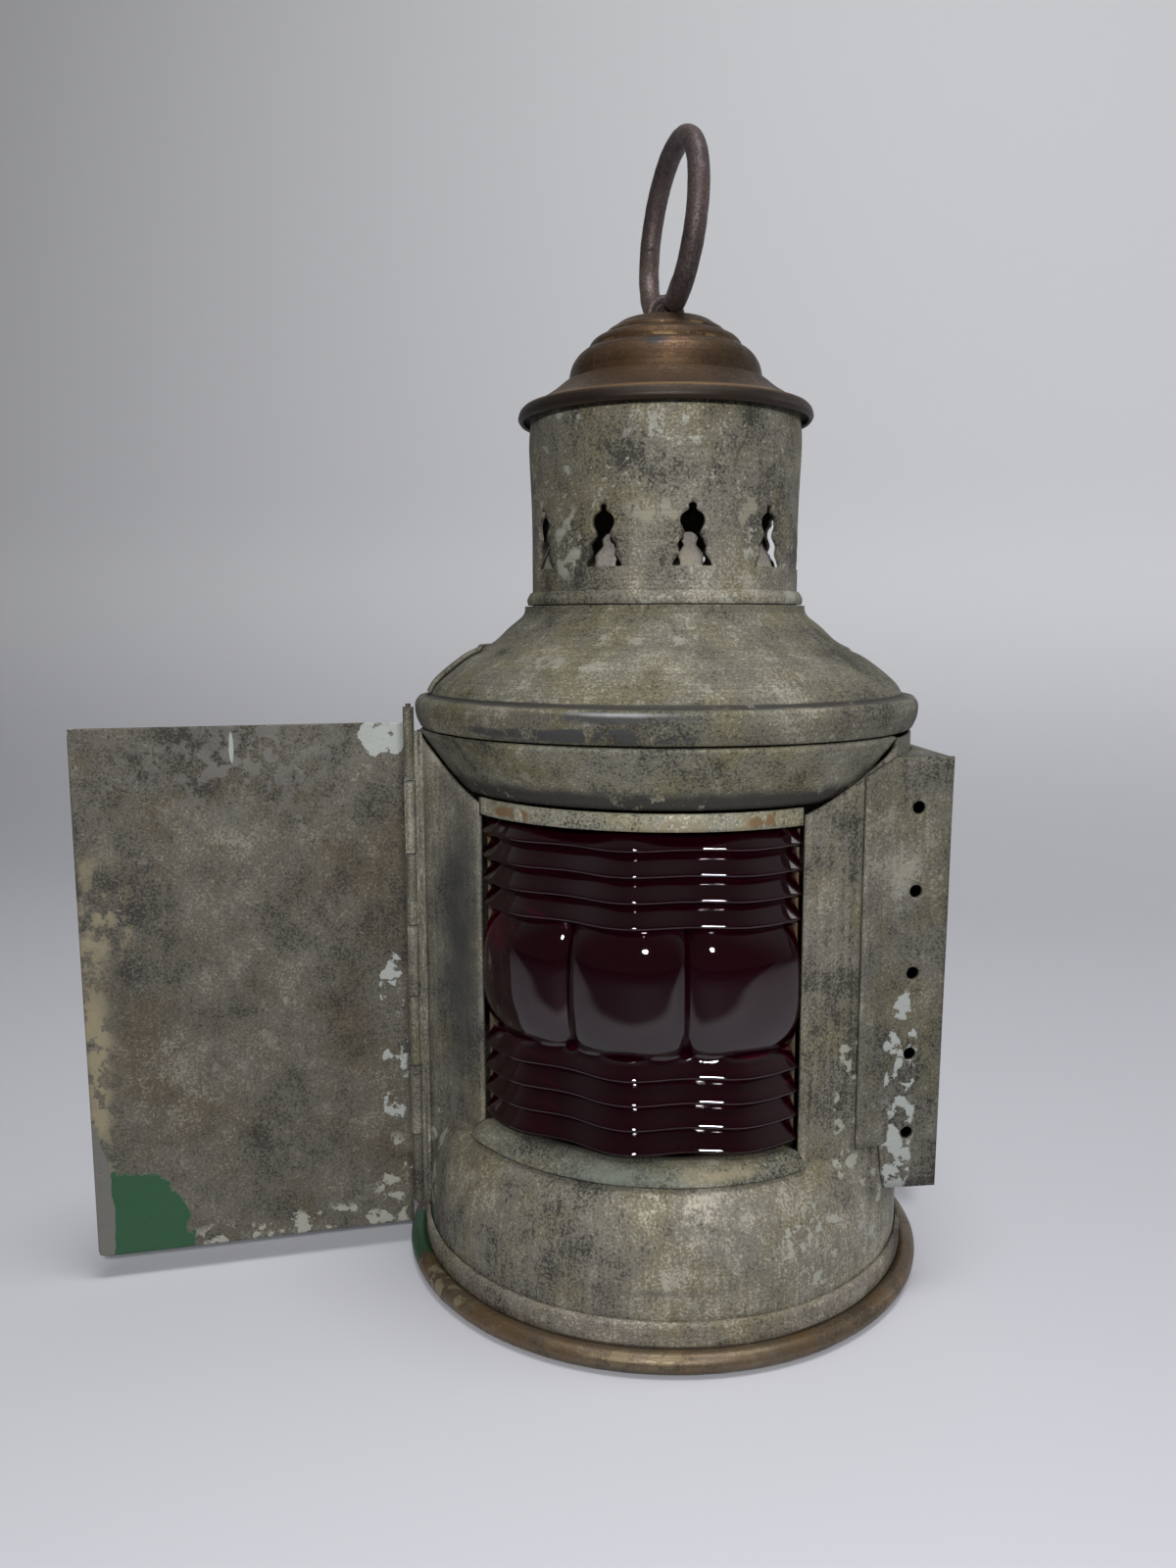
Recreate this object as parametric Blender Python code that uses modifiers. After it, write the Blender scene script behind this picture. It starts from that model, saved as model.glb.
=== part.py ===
"""A small ship's side light in sheet metal: ruby lens, hinged screen, oil lamp inside.

Frame: +Z up, origin at the centre of the underside of the base pan, lens facing -Y.
Azimuths are measured from -Y towards +X. Sizes below are in millimetres.
"""

import math

import bmesh
import bpy
from mathutils import Matrix, Vector

MM = 0.001

# General
SHEET = 0.8               # thickness of the sheet metal
GAP = 0.3                 # gap left between pieces that touch
ROUND_STEPS = 44          # facets round the large turned pieces
FINE_STEPS = 24           # facets round the small turned pieces

# Body
BODY_RADIUS = 56.0
CHEEK_FRONT_AZIMUTH = 48.3  # where a cheek meets the side of the lens
CHEEK_BACK_AZIMUTH = 69.5   # where a cheek meets the round back
SKIRT_STRAIGHT_TOP = 15.0   # the skirt is upright below this
SKIRT_LIP_HEIGHT = 34.6
SKIRT_LIP_REACH = 0.8       # from the crest of the lens out to the skirt's lip

# Base pan and its bayonet
RIM_REACH = 5.0             # from the body out to the edge of the rim
RIM_WIRE = 2.3              # radius of the rolled rim
PAN_FLOOR = 0.8
PAN_SHELF = 3.4             # height of the shelf that the body stands on
SPIGOT_INSET = 4.0          # from the body in to the collar of the pan
SPIGOT_TOP = 12.5
LUG_COUNT = 3
LUG_WIDTH = 8.0
LUG_REACH = 2.0
LUG_HEIGHT = 1.5
KEEPER_BOTTOM = 6.0
KEEPER_HEIGHT = 1.6
NOTCH_WIDTH = 11.0
NOTCH_TURN = 35.0           # turn from the locked place to the notches
HOOP_THICKNESS = 1.0
HOOP_HEIGHT = 5.4

# Lens and what holds it
LENS_RADIUS = 47.0
LENS_THICKNESS = 5.5
LENS_HEIGHT = 69.0
SILL_RISE = 3.6             # from the skirt's lip up to the foot of the lens
LENS_HALF_ANGLE = 46.8
LOBE_HALF_ANGLE = 17.0
LOBE_DEPTH = 2.0
RING_COUNT = 4
RING_PITCH = 5.3
RING_DEPTH = 1.9
BELT_DEPTH = 2.2
BAND_REACH = 0.5            # from the crest of the lens out to the band
BAND_HEIGHT = 3.6
STRIP_WIDTH = 0.7
STRIP_DEPTH = 5.0

# Visor, hood, chimney and cap
VISOR_CLEARANCE = 0.7       # from the band up to the foot of the visor
VISOR_FOOT_REACH = 0.4      # from the crest of the lens out to the foot of the visor
VISOR_HEAD_REACH = 0.4      # from the body out to the head of the visor
VISOR_RISE = 12.7
BEAD_REACH = 1.4            # from the body out to the bead
BEAD_HEIGHT = 6.8
NECK_CLEARANCE = 1.8        # from the chimney out to the neck of the hood
HOOD_RISE = 27.5            # from the head of the visor up to the neck
COLLAR_REACH = 1.0
COLLAR_HEIGHT = 2.8
CHIMNEY_RADIUS = 30.2
CHIMNEY_SWELL = 0.5         # swell of the chimney under the cap
CHIMNEY_SEAT = 2.4          # depth of the chimney in the neck
VENT_COUNT = 10
VENT_AZIMUTH = 20.9
VENT_LIFT = 8.0             # from the neck up to the vents
VENT_HEIGHT = 12.8
VENT_WIDTH = 8.2
TONGUE_SCALE = 0.62
TONGUE_LEAN = 16.0
CAP_OVERHANG = 2.9          # from the chimney out to the rim of the cap
CAP_LIFT = 40.5             # from the neck up to the rim of the cap
CAP_HEIGHT = 22.5
CAP_DISH = 1.6              # depth of the dish in the crown
PATCH_START = -122.0
PATCH_END = -64.0

# Carrying ring and its eye
RING_RADIUS = 18.4
RING_WIRE = 2.4
RING_AZIMUTH = 26.1         # direction that the ring's plane runs in
RING_LEAN = -4.4
EYE_WIRE = 0.9
EYE_CLEARANCE = 0.3

# Draught box on the right
LEG_START = 0.65            # share of the cheek at which its leg starts
LEG_HEEL = 0.93             # share of the cheek at which its leg has to be clear of the rounded skirt
FACE_WIDTH = 12.5
FACE_TAPER = 0.8            # how much narrower the face is at its foot
FACE_BEND = 14.0            # bend between the cheek and the pierced face
FACE_BOTTOM = 25.8
FACE_DROP = 4.0             # from the head of the visor down to the top of the face
FACE_HOLES = 5
FACE_HOLE_PITCH = 17.9
FACE_HOLE_SHARE = 0.41      # place of the holes across the face
FACE_HOLE_LIFT = 0.9        # height of the middle hole above the middle of the face
FACE_HOLE_DIAMETER = 2.8

# Screen and hinge on the left
HINGE_AZIMUTH = -69.7
HINGE_STAND = 0.65          # gap between the leaf's plate and the knuckles
HINGE_PIN = 0.6
HINGE_CLEARANCE = 0.06
KNUCKLE = 1.25
KNUCKLE_COUNT = 7
LEAF_WIDTH = 5.0
HINGE_LIFT = 1.0            # from the foot hoop up to the hinge
HINGE_OVERRUN = 5.1         # from the head of the visor up to the top of the hinge
SCREEN_AZIMUTH = -63.1
SCREEN_WIDTH = 72.6
SCREEN_THICKNESS = 1.0
SCREEN_LIFT = 1.0           # from the rim up to the foot of the screen
SCREEN_OVERRUN = 1.5        # from the head of the visor up to the top of the screen

# Oil lamp
FONT_RADIUS = 42.0
FONT_TOP = 22.0
FONT_CROWN = 27.0
FONT_NECK_RADIUS = 11.8
FONT_NECK_HEIGHT = 2.2
FILLER_RADIUS = 6.0
FILLER_HEIGHT = 4.5
FILLER_DISTANCE = 27.0
BURNER_RADIUS = 15.0
BURNER_HEIGHT = 8.5
CROWN_RADIUS = 19.0
CROWN_HEIGHT = 5.5
CONE_SEAT = 3.3              # height of the cone's foot above the foot of the crown
CONE_HEIGHT = 14.0
TUBE_WIDTH = 14.0
TUBE_DEPTH = 4.8
TUBE_BOTTOM = 14.0
TUBE_TOP = 50.0
WICK_WIDTH = 11.8
WICK_DEPTH = 2.6
WICK_BOTTOM = 12.0
WICK_TOP = 56.0
SHAFT_RADIUS = 1.2
SHAFT_CLEARANCE = 0.05
SPUR_RADIUS = 3.8
SPUR_WIDTH = 2.0
KNOB_RADIUS = 6.5
KNOB_WIDTH = 3.0
KNOB_DISTANCE = 26.0

# Radii that follow from the sizes above
RIM_RADIUS = BODY_RADIUS + RIM_REACH
SPIGOT_RADIUS = BODY_RADIUS - SPIGOT_INSET
CHEEK_FRONT_RADIUS = LENS_RADIUS
SKIRT_LIP_RADIUS = LENS_RADIUS + SKIRT_LIP_REACH
LENS_INNER_RADIUS = LENS_RADIUS - LENS_THICKNESS
BAND_RADIUS = LENS_RADIUS + BAND_REACH
VISOR_FOOT_RADIUS = LENS_RADIUS + VISOR_FOOT_REACH
VISOR_HEAD_RADIUS = BODY_RADIUS + VISOR_HEAD_REACH
BEAD_RADIUS = BODY_RADIUS + BEAD_REACH
NECK_RADIUS = CHIMNEY_RADIUS + NECK_CLEARANCE
CAP_RIM_RADIUS = CHIMNEY_RADIUS + CAP_OVERHANG
HINGE_RADIUS = BODY_RADIUS + GAP + SHEET + HINGE_STAND + KNUCKLE

# Heights that follow from the sizes above
LENS_BOTTOM = SKIRT_LIP_HEIGHT + SILL_RISE
LENS_TOP = LENS_BOTTOM + LENS_HEIGHT
VISOR_FOOT = LENS_TOP + GAP + BAND_HEIGHT + VISOR_CLEARANCE
VISOR_HEAD = VISOR_FOOT + VISOR_RISE
BODY_TOP = VISOR_HEAD - GAP
NECK_TOP = VISOR_HEAD + HOOD_RISE
CHIMNEY_FOOT = NECK_TOP - CHIMNEY_SEAT
VENT_FOOT = NECK_TOP + VENT_LIFT
CAP_RIM = NECK_TOP + CAP_LIFT
CAP_TOP = CAP_RIM + CAP_HEIGHT
FACE_TOP = VISOR_HEAD - FACE_DROP
HOOP_BOTTOM = PAN_SHELF + 2 * GAP
HINGE_BOTTOM = HOOP_BOTTOM + HOOP_HEIGHT + HINGE_LIFT
HINGE_TOP = VISOR_HEAD + HINGE_OVERRUN
SCREEN_BOTTOM = 2 * RIM_WIRE + SCREEN_LIFT
SCREEN_TOP = VISOR_HEAD + SCREEN_OVERRUN


def clear_scene():
    for old in list(bpy.data.objects):
        bpy.data.objects.remove(old, do_unlink=True)


def new_collection(name):
    made = bpy.data.collections.new(name)
    bpy.context.scene.collection.children.link(made)
    return made


clear_scene()
LANTERN = new_collection("ship_navigation_lantern")
CUTTERS = new_collection("cutters")


def finish_of(name, colour, roughness, metallic):
    surface = bpy.data.materials.new(name)
    surface.use_nodes = True
    shader = surface.node_tree.nodes["Principled BSDF"]
    shader.inputs["Base Color"].default_value = (*colour, 1.0)
    shader.inputs["Roughness"].default_value = roughness
    shader.inputs["Metallic"].default_value = metallic
    return surface


def worn_sheet(name):
    return finish_of(name, (0.115, 0.108, 0.088), 0.62, 0.6)


def brass(name):
    return finish_of(name, (0.23, 0.15, 0.075), 0.45, 0.9)


def place(name, data, surface, collection=None):
    item = bpy.data.objects.new(name, data)
    (collection or LANTERN).objects.link(item)
    if surface is not None:
        data.materials.append(surface)
    return item


def polar(radius, azimuth, height):
    """A point at an azimuth measured from -Y towards +X."""
    turn = math.radians(azimuth)
    return Vector((radius * math.sin(turn), -radius * math.cos(turn), height))


def smooth(item, angle=35.0):
    mesh = item.data
    mesh.shade_smooth()
    mesh.set_sharp_from_angle(angle=math.radians(angle))


def lathe(name, surface, profile, steps=ROUND_STEPS, closed=False, collection=None):
    """Turn a profile of (radius, height) points about Z. An open profile starts and ends on the axis."""
    mesh = bpy.data.meshes.new(name)
    points = [(r * MM, 0.0, z * MM) for r, z in profile]
    edges = [(i, i + 1) for i in range(len(points) - 1)]
    if closed:
        edges.append((len(points) - 1, 0))
    mesh.from_pydata(points, edges, [])
    item = place(name, mesh, surface, collection)
    turn = item.modifiers.new("Turn", "SCREW")
    turn.steps = steps
    turn.render_steps = steps
    turn.use_merge_vertices = True
    turn.merge_threshold = 0.00001
    turn.use_smooth_shade = True
    return item


def sheet_from_columns(name, surface, columns, thickness, wrap=False):
    """A sheet through columns of points, top to bottom, that step anticlockwise seen from above.

    Columns may have unlike lengths: only rows that both neighbours have are joined.
    The sheet's outer face is the side seen with the columns stepping to the right.
    """
    mesh = bpy.data.meshes.new(name)
    build = bmesh.new()
    grid = [[build.verts.new(point * MM) for point in column] for column in columns]
    pairs = list(zip(grid, grid[1:]))
    if wrap:
        pairs.append((grid[-1], grid[0]))
    for left, right in pairs:
        for row in range(1, min(len(left), len(right))):
            build.faces.new((left[-row], right[-row], right[-row - 1], left[-row - 1]))
    build.to_mesh(mesh)
    build.free()
    item = place(name, mesh, surface)
    wall = item.modifiers.new("Wall", "SOLIDIFY")
    wall.thickness = thickness * MM
    wall.offset = -1.0
    wall.use_even_offset = True
    smooth(item)
    return item


def swept_sheet(name, surface, profile, start, end, steps, thickness=SHEET):
    """A sheet turned part of the way round. The profile runs from top to bottom."""
    columns = []
    for step in range(steps + 1):
        azimuth = start + (end - start) * step / steps
        columns.append([polar(r, azimuth, z) for r, z in profile])
    return sheet_from_columns(name, surface, columns, thickness)


def box(name, surface, size, matrix, collection=None):
    mesh = bpy.data.meshes.new(name)
    build = bmesh.new()
    bmesh.ops.create_cube(build, size=1.0)
    bmesh.ops.scale(build, vec=Vector(size) * MM, verts=build.verts)
    build.to_mesh(mesh)
    build.free()
    item = place(name, mesh, surface, collection)
    item.matrix_world = matrix
    return item


def cylinder(name, surface, radius, length, matrix, sides=24, collection=None):
    mesh = bpy.data.meshes.new(name)
    build = bmesh.new()
    bmesh.ops.create_cone(
        build, cap_ends=True, segments=sides, radius1=radius * MM, radius2=radius * MM, depth=length * MM
    )
    build.to_mesh(mesh)
    build.free()
    item = place(name, mesh, surface, collection)
    item.matrix_world = matrix
    return item


def flat_outline(name, surface, points, thickness, matrix, collection=None):
    """A closed outline filled and given a thickness, as a mesh."""
    curve = bpy.data.curves.new(name, "CURVE")
    curve.dimensions = "2D"
    curve.fill_mode = "BOTH"
    curve.extrude = thickness * MM / 2
    line = curve.splines.new("POLY")
    line.points.add(len(points) - 1)
    for spot, (x, y) in zip(line.points, points):
        spot.co = (x * MM, y * MM, 0.0, 1.0)
    line.use_cyclic_u = True
    return curve_as_mesh(name, surface, curve, matrix, collection)


def curve_as_mesh(name, surface, curve, matrix, collection=None):
    guide = bpy.data.objects.new(name + "_guide", curve)
    CUTTERS.objects.link(guide)
    evaluated = guide.evaluated_get(bpy.context.evaluated_depsgraph_get())
    mesh = bpy.data.meshes.new_from_object(evaluated)
    build = bmesh.new()
    build.from_mesh(mesh)
    bmesh.ops.remove_doubles(build, verts=build.verts, dist=0.000001)
    bmesh.ops.recalc_face_normals(build, faces=build.faces)
    build.to_mesh(mesh)
    build.free()
    bpy.data.objects.remove(guide, do_unlink=True)
    mesh.name = name
    item = place(name, mesh, surface, collection)
    item.matrix_world = matrix
    return item


def wire(name, surface, points, radius, matrix, closed=False, resolution=2):
    """A round wire along points."""
    curve = bpy.data.curves.new(name, "CURVE")
    curve.dimensions = "3D"
    curve.bevel_depth = radius * MM
    curve.bevel_resolution = resolution
    curve.use_fill_caps = True
    line = curve.splines.new("POLY")
    line.points.add(len(points) - 1)
    for spot, point in zip(line.points, points):
        spot.co = (*(Vector(point) * MM), 1.0)
    line.use_cyclic_u = closed
    item = curve_as_mesh(name, surface, curve, matrix)
    smooth(item)
    return item


def joined_tool(name, tools):
    """Several cutting solids as one mesh object in the cutters."""
    build = bmesh.new()
    for tool in tools:
        start = len(build.verts)
        build.from_mesh(tool.data)
        build.verts.ensure_lookup_table()
        for vert in build.verts[start:]:
            vert.co = tool.matrix_world @ vert.co
        bpy.data.objects.remove(tool, do_unlink=True)
    mesh = bpy.data.meshes.new(name)
    build.to_mesh(mesh)
    build.free()
    item = place(name, mesh, None, CUTTERS)
    item.hide_render = True
    item.display_type = "WIRE"
    return item


def apply_tool(item, tool, operation):
    step = item.modifiers.new(operation.title(), "BOOLEAN")
    step.operation = operation
    step.object = tool
    step.solver = "EXACT"


def at(point, rotation=None):
    """A placing matrix from a point in millimetres and a rotation."""
    turned = rotation.to_4x4() if rotation else Matrix.Identity(4)
    return Matrix.Translation(Vector(point) * MM) @ turned


def frame_matrix(point, along, up):
    """A placing matrix whose X runs along one direction and whose Z runs close to another."""
    x = Vector(along).normalized()
    y = Vector(up).cross(x).normalized()
    z = x.cross(y)
    turned = Matrix((x, y, z)).transposed()
    return at(point, turned)


def arc(centre, radius, start, end, steps):
    """Points on an arc in a profile plane, angles in degrees."""
    points = []
    for step in range(steps + 1):
        angle = math.radians(start + (end - start) * step / steps)
        points.append((centre[0] + radius * math.cos(angle), centre[1] + radius * math.sin(angle)))
    return points


# Base pan and bayonet


def make_base_pan():
    rim_centre = (RIM_RADIUS - RIM_WIRE, RIM_WIRE)
    shelf_angle = math.degrees(math.asin((PAN_SHELF - RIM_WIRE) / RIM_WIRE))
    profile = [
        (0.0, PAN_FLOOR),
        (SPIGOT_RADIUS - SHEET, PAN_FLOOR),
        (SPIGOT_RADIUS - SHEET, SPIGOT_TOP),
        (SPIGOT_RADIUS, SPIGOT_TOP),
        (SPIGOT_RADIUS, PAN_SHELF),
    ]
    profile += arc(rim_centre, RIM_WIRE, 180.0 - shelf_angle, -90.0, 7)
    profile.append((0.0, 0.0))
    pan = lathe("base_pan", brass("base_pan"), profile)
    lugs = []
    for index in range(LUG_COUNT):
        azimuth = 360.0 * index / LUG_COUNT
        height = KEEPER_BOTTOM + KEEPER_HEIGHT + GAP + LUG_HEIGHT / 2
        root = SHEET / 2
        middle = polar(SPIGOT_RADIUS + (LUG_REACH - root) / 2, azimuth, height)
        place_lug = frame_matrix(middle, polar(1.0, azimuth, 0.0), (0, 0, 1))
        lugs.append(box("lug", None, (LUG_REACH + root, LUG_WIDTH, LUG_HEIGHT), place_lug, CUTTERS))
    apply_tool(pan, joined_tool("base_lugs", lugs), "UNION")


def make_base_keeper():
    inner = SPIGOT_RADIUS + GAP
    outer = BODY_RADIUS - SHEET - GAP
    top = KEEPER_BOTTOM + KEEPER_HEIGHT
    profile = [(inner, top), (outer, top), (outer, KEEPER_BOTTOM), (inner, KEEPER_BOTTOM)]
    keeper = lathe("base_keeper", worn_sheet("base_keeper"), profile, closed=True)
    reach = (SPIGOT_RADIUS + LUG_REACH + GAP - inner) * 2
    notches = []
    for index in range(LUG_COUNT):
        azimuth = NOTCH_TURN + 360.0 * index / LUG_COUNT
        middle = polar(inner, azimuth, KEEPER_BOTTOM + KEEPER_HEIGHT / 2)
        place_notch = frame_matrix(middle, polar(1.0, azimuth, 0.0), (0, 0, 1))
        notches.append(box("notch", None, (reach, NOTCH_WIDTH, KEEPER_HEIGHT * 2), place_notch, CUTTERS))
    apply_tool(keeper, joined_tool("keeper_notches", notches), "DIFFERENCE")


def make_foot_hoop():
    inner = BODY_RADIUS + GAP
    outer = inner + HOOP_THICKNESS
    bottom = HOOP_BOTTOM
    top = bottom + HOOP_HEIGHT
    edge = HOOP_THICKNESS * 0.4
    profile = [
        (inner, top),
        (outer - edge, top),
        (outer, top - edge * 2),
        (outer, bottom + edge),
        (outer - edge, bottom),
        (inner, bottom),
    ]
    lathe("foot_hoop", worn_sheet("foot_hoop"), profile, closed=True)


# Body


def cheek_point(share):
    """A point in plan on the right cheek: 0 beside the lens, 1 at the round back."""
    front = polar(CHEEK_FRONT_RADIUS, CHEEK_FRONT_AZIMUTH, 0.0)
    back = polar(BODY_RADIUS, CHEEK_BACK_AZIMUTH, 0.0)
    return front.lerp(back, share)


def azimuth_of(point):
    return math.degrees(math.atan2(point.x, -point.y))


def skirt_radius(height):
    """Upright low down, then rounding in to the lip under the lens."""
    if height <= SKIRT_STRAIGHT_TOP:
        return BODY_RADIUS
    share = min(1.0, (height - SKIRT_STRAIGHT_TOP) / (SKIRT_LIP_HEIGHT - SKIRT_STRAIGHT_TOP))
    return SKIRT_LIP_RADIUS + (BODY_RADIUS - SKIRT_LIP_RADIUS) * math.sqrt(1.0 - share * share)


def visor_height(radius):
    """Height of the visor's outer face at a radius."""
    slope = (VISOR_HEAD - VISOR_FOOT) / (VISOR_HEAD_RADIUS - VISOR_FOOT_RADIUS)
    return VISOR_FOOT + (radius - VISOR_FOOT_RADIUS) * slope


def cheek_top(radius):
    """A cheek ends where its inner face would meet the visor."""
    return visor_height(radius - SHEET * 1.3 - GAP)


def body_column(azimuth, wall_radius, top):
    """One upright line of the body, from the top down. No top means that it ends at the lip."""
    foot = PAN_SHELF + GAP
    rounding = [0.0, 0.35, 0.62, 0.82, 0.94, 1.0]
    heights = [foot, (foot + SKIRT_STRAIGHT_TOP) / 2]
    heights += [SKIRT_STRAIGHT_TOP + (SKIRT_LIP_HEIGHT - SKIRT_STRAIGHT_TOP) * part for part in rounding]
    column = [polar(max(wall_radius, skirt_radius(z)), azimuth, z) for z in heights]
    if top is not None:
        rows = 3
        step = (top - SKIRT_LIP_HEIGHT) / rows
        column += [polar(wall_radius, azimuth, SKIRT_LIP_HEIGHT + step * row) for row in range(1, rows + 1)]
    column.reverse()
    return column


def make_body_shell():
    columns = []
    window_steps = 12
    for step in range(1, window_steps):
        azimuth = -CHEEK_FRONT_AZIMUTH + 2 * CHEEK_FRONT_AZIMUTH * step / window_steps
        columns.append(body_column(azimuth, 0.0, None))
    cheek_steps = 4
    right = []
    for step in range(cheek_steps + 1):
        spot = cheek_point(step / cheek_steps)
        right.append((azimuth_of(spot), spot.length))
    columns += [body_column(azimuth, radius, cheek_top(radius)) for azimuth, radius in right]
    back_steps = 28
    sweep = 360.0 - 2 * CHEEK_BACK_AZIMUTH
    for step in range(1, back_steps):
        azimuth = CHEEK_BACK_AZIMUTH + sweep * step / back_steps
        columns.append(body_column(azimuth, BODY_RADIUS, BODY_TOP))
    columns += [body_column(-azimuth, radius, cheek_top(radius)) for azimuth, radius in reversed(right)]
    sheet_from_columns("body_shell", worn_sheet("body_shell"), columns, SHEET, wrap=True)


# Lens and its frame


def lens_profile():
    """Points (height, cut) down the lens face: cut is how far the face lies inside the crest."""
    points = []
    rings = RING_COUNT * RING_PITCH
    waves = [(0.0, 1.0), (0.25, 0.3), (0.5, 0.0), (0.75, 0.3)]
    for ring in range(RING_COUNT):
        for share, cut in waves:
            points.append((LENS_TOP - (ring + share) * RING_PITCH, RING_DEPTH * cut))
    belt_top = LENS_TOP - rings
    belt_bottom = LENS_BOTTOM + rings
    belt_steps = 8
    for step in range(belt_steps + 1):
        share = step / belt_steps
        cut = BELT_DEPTH * (2 * share - 1) ** 4
        points.append((belt_top + (belt_bottom - belt_top) * share, cut))
    for ring in range(RING_COUNT):
        for share, cut in waves[1:] + [(1.0, 1.0)]:
            points.append((belt_bottom - (ring + share) * RING_PITCH, RING_DEPTH * cut))
    return points


def lobe_cut(azimuth):
    """How far the upright lobes fall back from their crests at an azimuth."""
    from_crest = (azimuth + LOBE_HALF_ANGLE) % (2 * LOBE_HALF_ANGLE) - LOBE_HALF_ANGLE
    return LOBE_DEPTH * (from_crest / LOBE_HALF_ANGLE) ** 2


def lens_azimuths():
    side_steps = 7
    middle_steps = 8
    side = LENS_HALF_ANGLE - LOBE_HALF_ANGLE
    left = [-LENS_HALF_ANGLE + side * step / side_steps for step in range(side_steps)]
    middle = [-LOBE_HALF_ANGLE + 2 * LOBE_HALF_ANGLE * step / middle_steps for step in range(middle_steps)]
    right = [LOBE_HALF_ANGLE + side * step / side_steps for step in range(side_steps + 1)]
    return left + middle + right


def make_lens():
    surface = finish_of("lens", (0.035, 0.002, 0.008), 0.06, 0.0)
    profile = lens_profile()
    mesh = bpy.data.meshes.new("lens")
    build = bmesh.new()
    front = []
    back = []
    for azimuth in lens_azimuths():
        fall = lobe_cut(azimuth)
        face = [polar(LENS_RADIUS - fall - cut, azimuth, z) for z, cut in profile]
        rear = [polar(LENS_INNER_RADIUS, azimuth, z) for z in (LENS_TOP, LENS_BOTTOM)]
        front.append([build.verts.new(point * MM) for point in face])
        back.append([build.verts.new(point * MM) for point in rear])
    for left, right, rear_left, rear_right in zip(front, front[1:], back, back[1:]):
        for row in range(len(profile) - 1):
            build.faces.new((left[row], left[row + 1], right[row + 1], right[row]))
        build.faces.new((rear_left[0], rear_right[0], rear_right[1], rear_left[1]))
        build.faces.new((left[0], right[0], rear_right[0], rear_left[0]))
        build.faces.new((left[-1], rear_left[1], rear_right[1], right[-1]))
    build.faces.new(front[0][::-1] + back[0])
    build.faces.new(front[-1] + back[-1][::-1])
    build.to_mesh(mesh)
    build.free()
    smooth(place("lens", mesh, surface), 50.0)


def make_lens_sill():
    surface = finish_of("lens_sill", (0.2, 0.2, 0.165), 0.7, 0.3)
    shelf = LENS_BOTTOM - GAP
    apron_radius = SKIRT_LIP_RADIUS + 2.8
    profile = [(LENS_INNER_RADIUS, shelf), (LENS_RADIUS + 0.5, shelf), (apron_radius, SKIRT_LIP_HEIGHT + GAP)]
    swept_sheet("lens_sill", surface, profile, -LENS_HALF_ANGLE, LENS_HALF_ANGLE, 16)


def make_lens_top_band():
    surface = finish_of("lens_top_band", (0.25, 0.24, 0.19), 0.65, 0.3)
    bottom = LENS_TOP + GAP
    profile = [(BAND_RADIUS, bottom + BAND_HEIGHT), (BAND_RADIUS, bottom)]
    swept_sheet("lens_top_band", surface, profile, -LENS_HALF_ANGLE, LENS_HALF_ANGLE, 16)


def make_lens_strips():
    middle_radius = LENS_INNER_RADIUS + STRIP_DEPTH / 2
    turn = LENS_HALF_ANGLE + math.degrees((GAP + STRIP_WIDTH / 2) / LENS_INNER_RADIUS)
    height = LENS_TOP - LENS_BOTTOM
    for name, azimuth in (("lens_strip_left", -turn), ("lens_strip_right", turn)):
        middle = polar(middle_radius, azimuth, LENS_BOTTOM + height / 2)
        placing = frame_matrix(middle, polar(1.0, azimuth, 0.0), (0, 0, 1))
        box(name, brass(name), (STRIP_DEPTH, STRIP_WIDTH, height), placing)


# Visor, hood, chimney and cap


def make_front_visor():
    profile = [(VISOR_HEAD_RADIUS, VISOR_HEAD), (VISOR_FOOT_RADIUS, VISOR_FOOT)]
    half_angle = CHEEK_BACK_AZIMUTH - 0.7
    swept_sheet("front_visor", worn_sheet("front_visor"), profile, -half_angle, half_angle, 24)


def hood_outline():
    """The outside of the hood from the neck down to the lip under the bead."""
    bead_top = VISOR_HEAD + SHEET * 0.6 + GAP + BEAD_HEIGHT
    fall = NECK_TOP - bead_top
    run = BEAD_RADIUS - NECK_RADIUS
    upper = [(0.0, 0.0), (0.02, 0.1), (0.145, 0.235), (0.275, 0.39), (0.395, 0.475), (0.42, 0.51)]
    lower = [(0.525, 0.575), (0.685, 0.725), (0.81, 0.87), (0.865, 0.985)]
    points = [(NECK_RADIUS + run * r, NECK_TOP - fall * z) for r, z in upper + lower]
    bead = [(0.965, 0.02), (1.0, 0.24), (0.995, 0.6), (0.965, 0.9), (0.945, 1.0)]
    points += [(NECK_RADIUS + run * r, bead_top - BEAD_HEIGHT * z) for r, z in bead]
    return points


def make_hood():
    outside = hood_outline()
    steps = (14, 12, 8, 6, 5, 3, 0)
    inside = [(outside[i][0] - SHEET, outside[i][1] - (SHEET if 0 < i < 12 else 0.0)) for i in steps]
    lathe("hood", worn_sheet("hood"), outside + inside, closed=True)


def make_hood_patch():
    lift = GAP + SHEET
    points = hood_outline()[4:10]
    profile = [(r + lift * 0.6, z + lift * 0.8) for r, z in points]
    swept_sheet("hood_patch", worn_sheet("hood_patch"), profile, PATCH_START, PATCH_END, 10, SHEET)


def make_chimney_collar():
    inner = CHIMNEY_RADIUS + GAP
    foot = NECK_TOP + GAP
    profile = [
        (inner, foot + COLLAR_HEIGHT),
        (inner + COLLAR_REACH * 0.35, foot + COLLAR_HEIGHT * 0.9),
        (inner + COLLAR_REACH, foot + COLLAR_HEIGHT * 0.45),
        (inner + COLLAR_REACH * 0.8, foot),
        (inner, foot),
    ]
    lathe("chimney_collar", worn_sheet("chimney_collar"), profile, closed=True)


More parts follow.
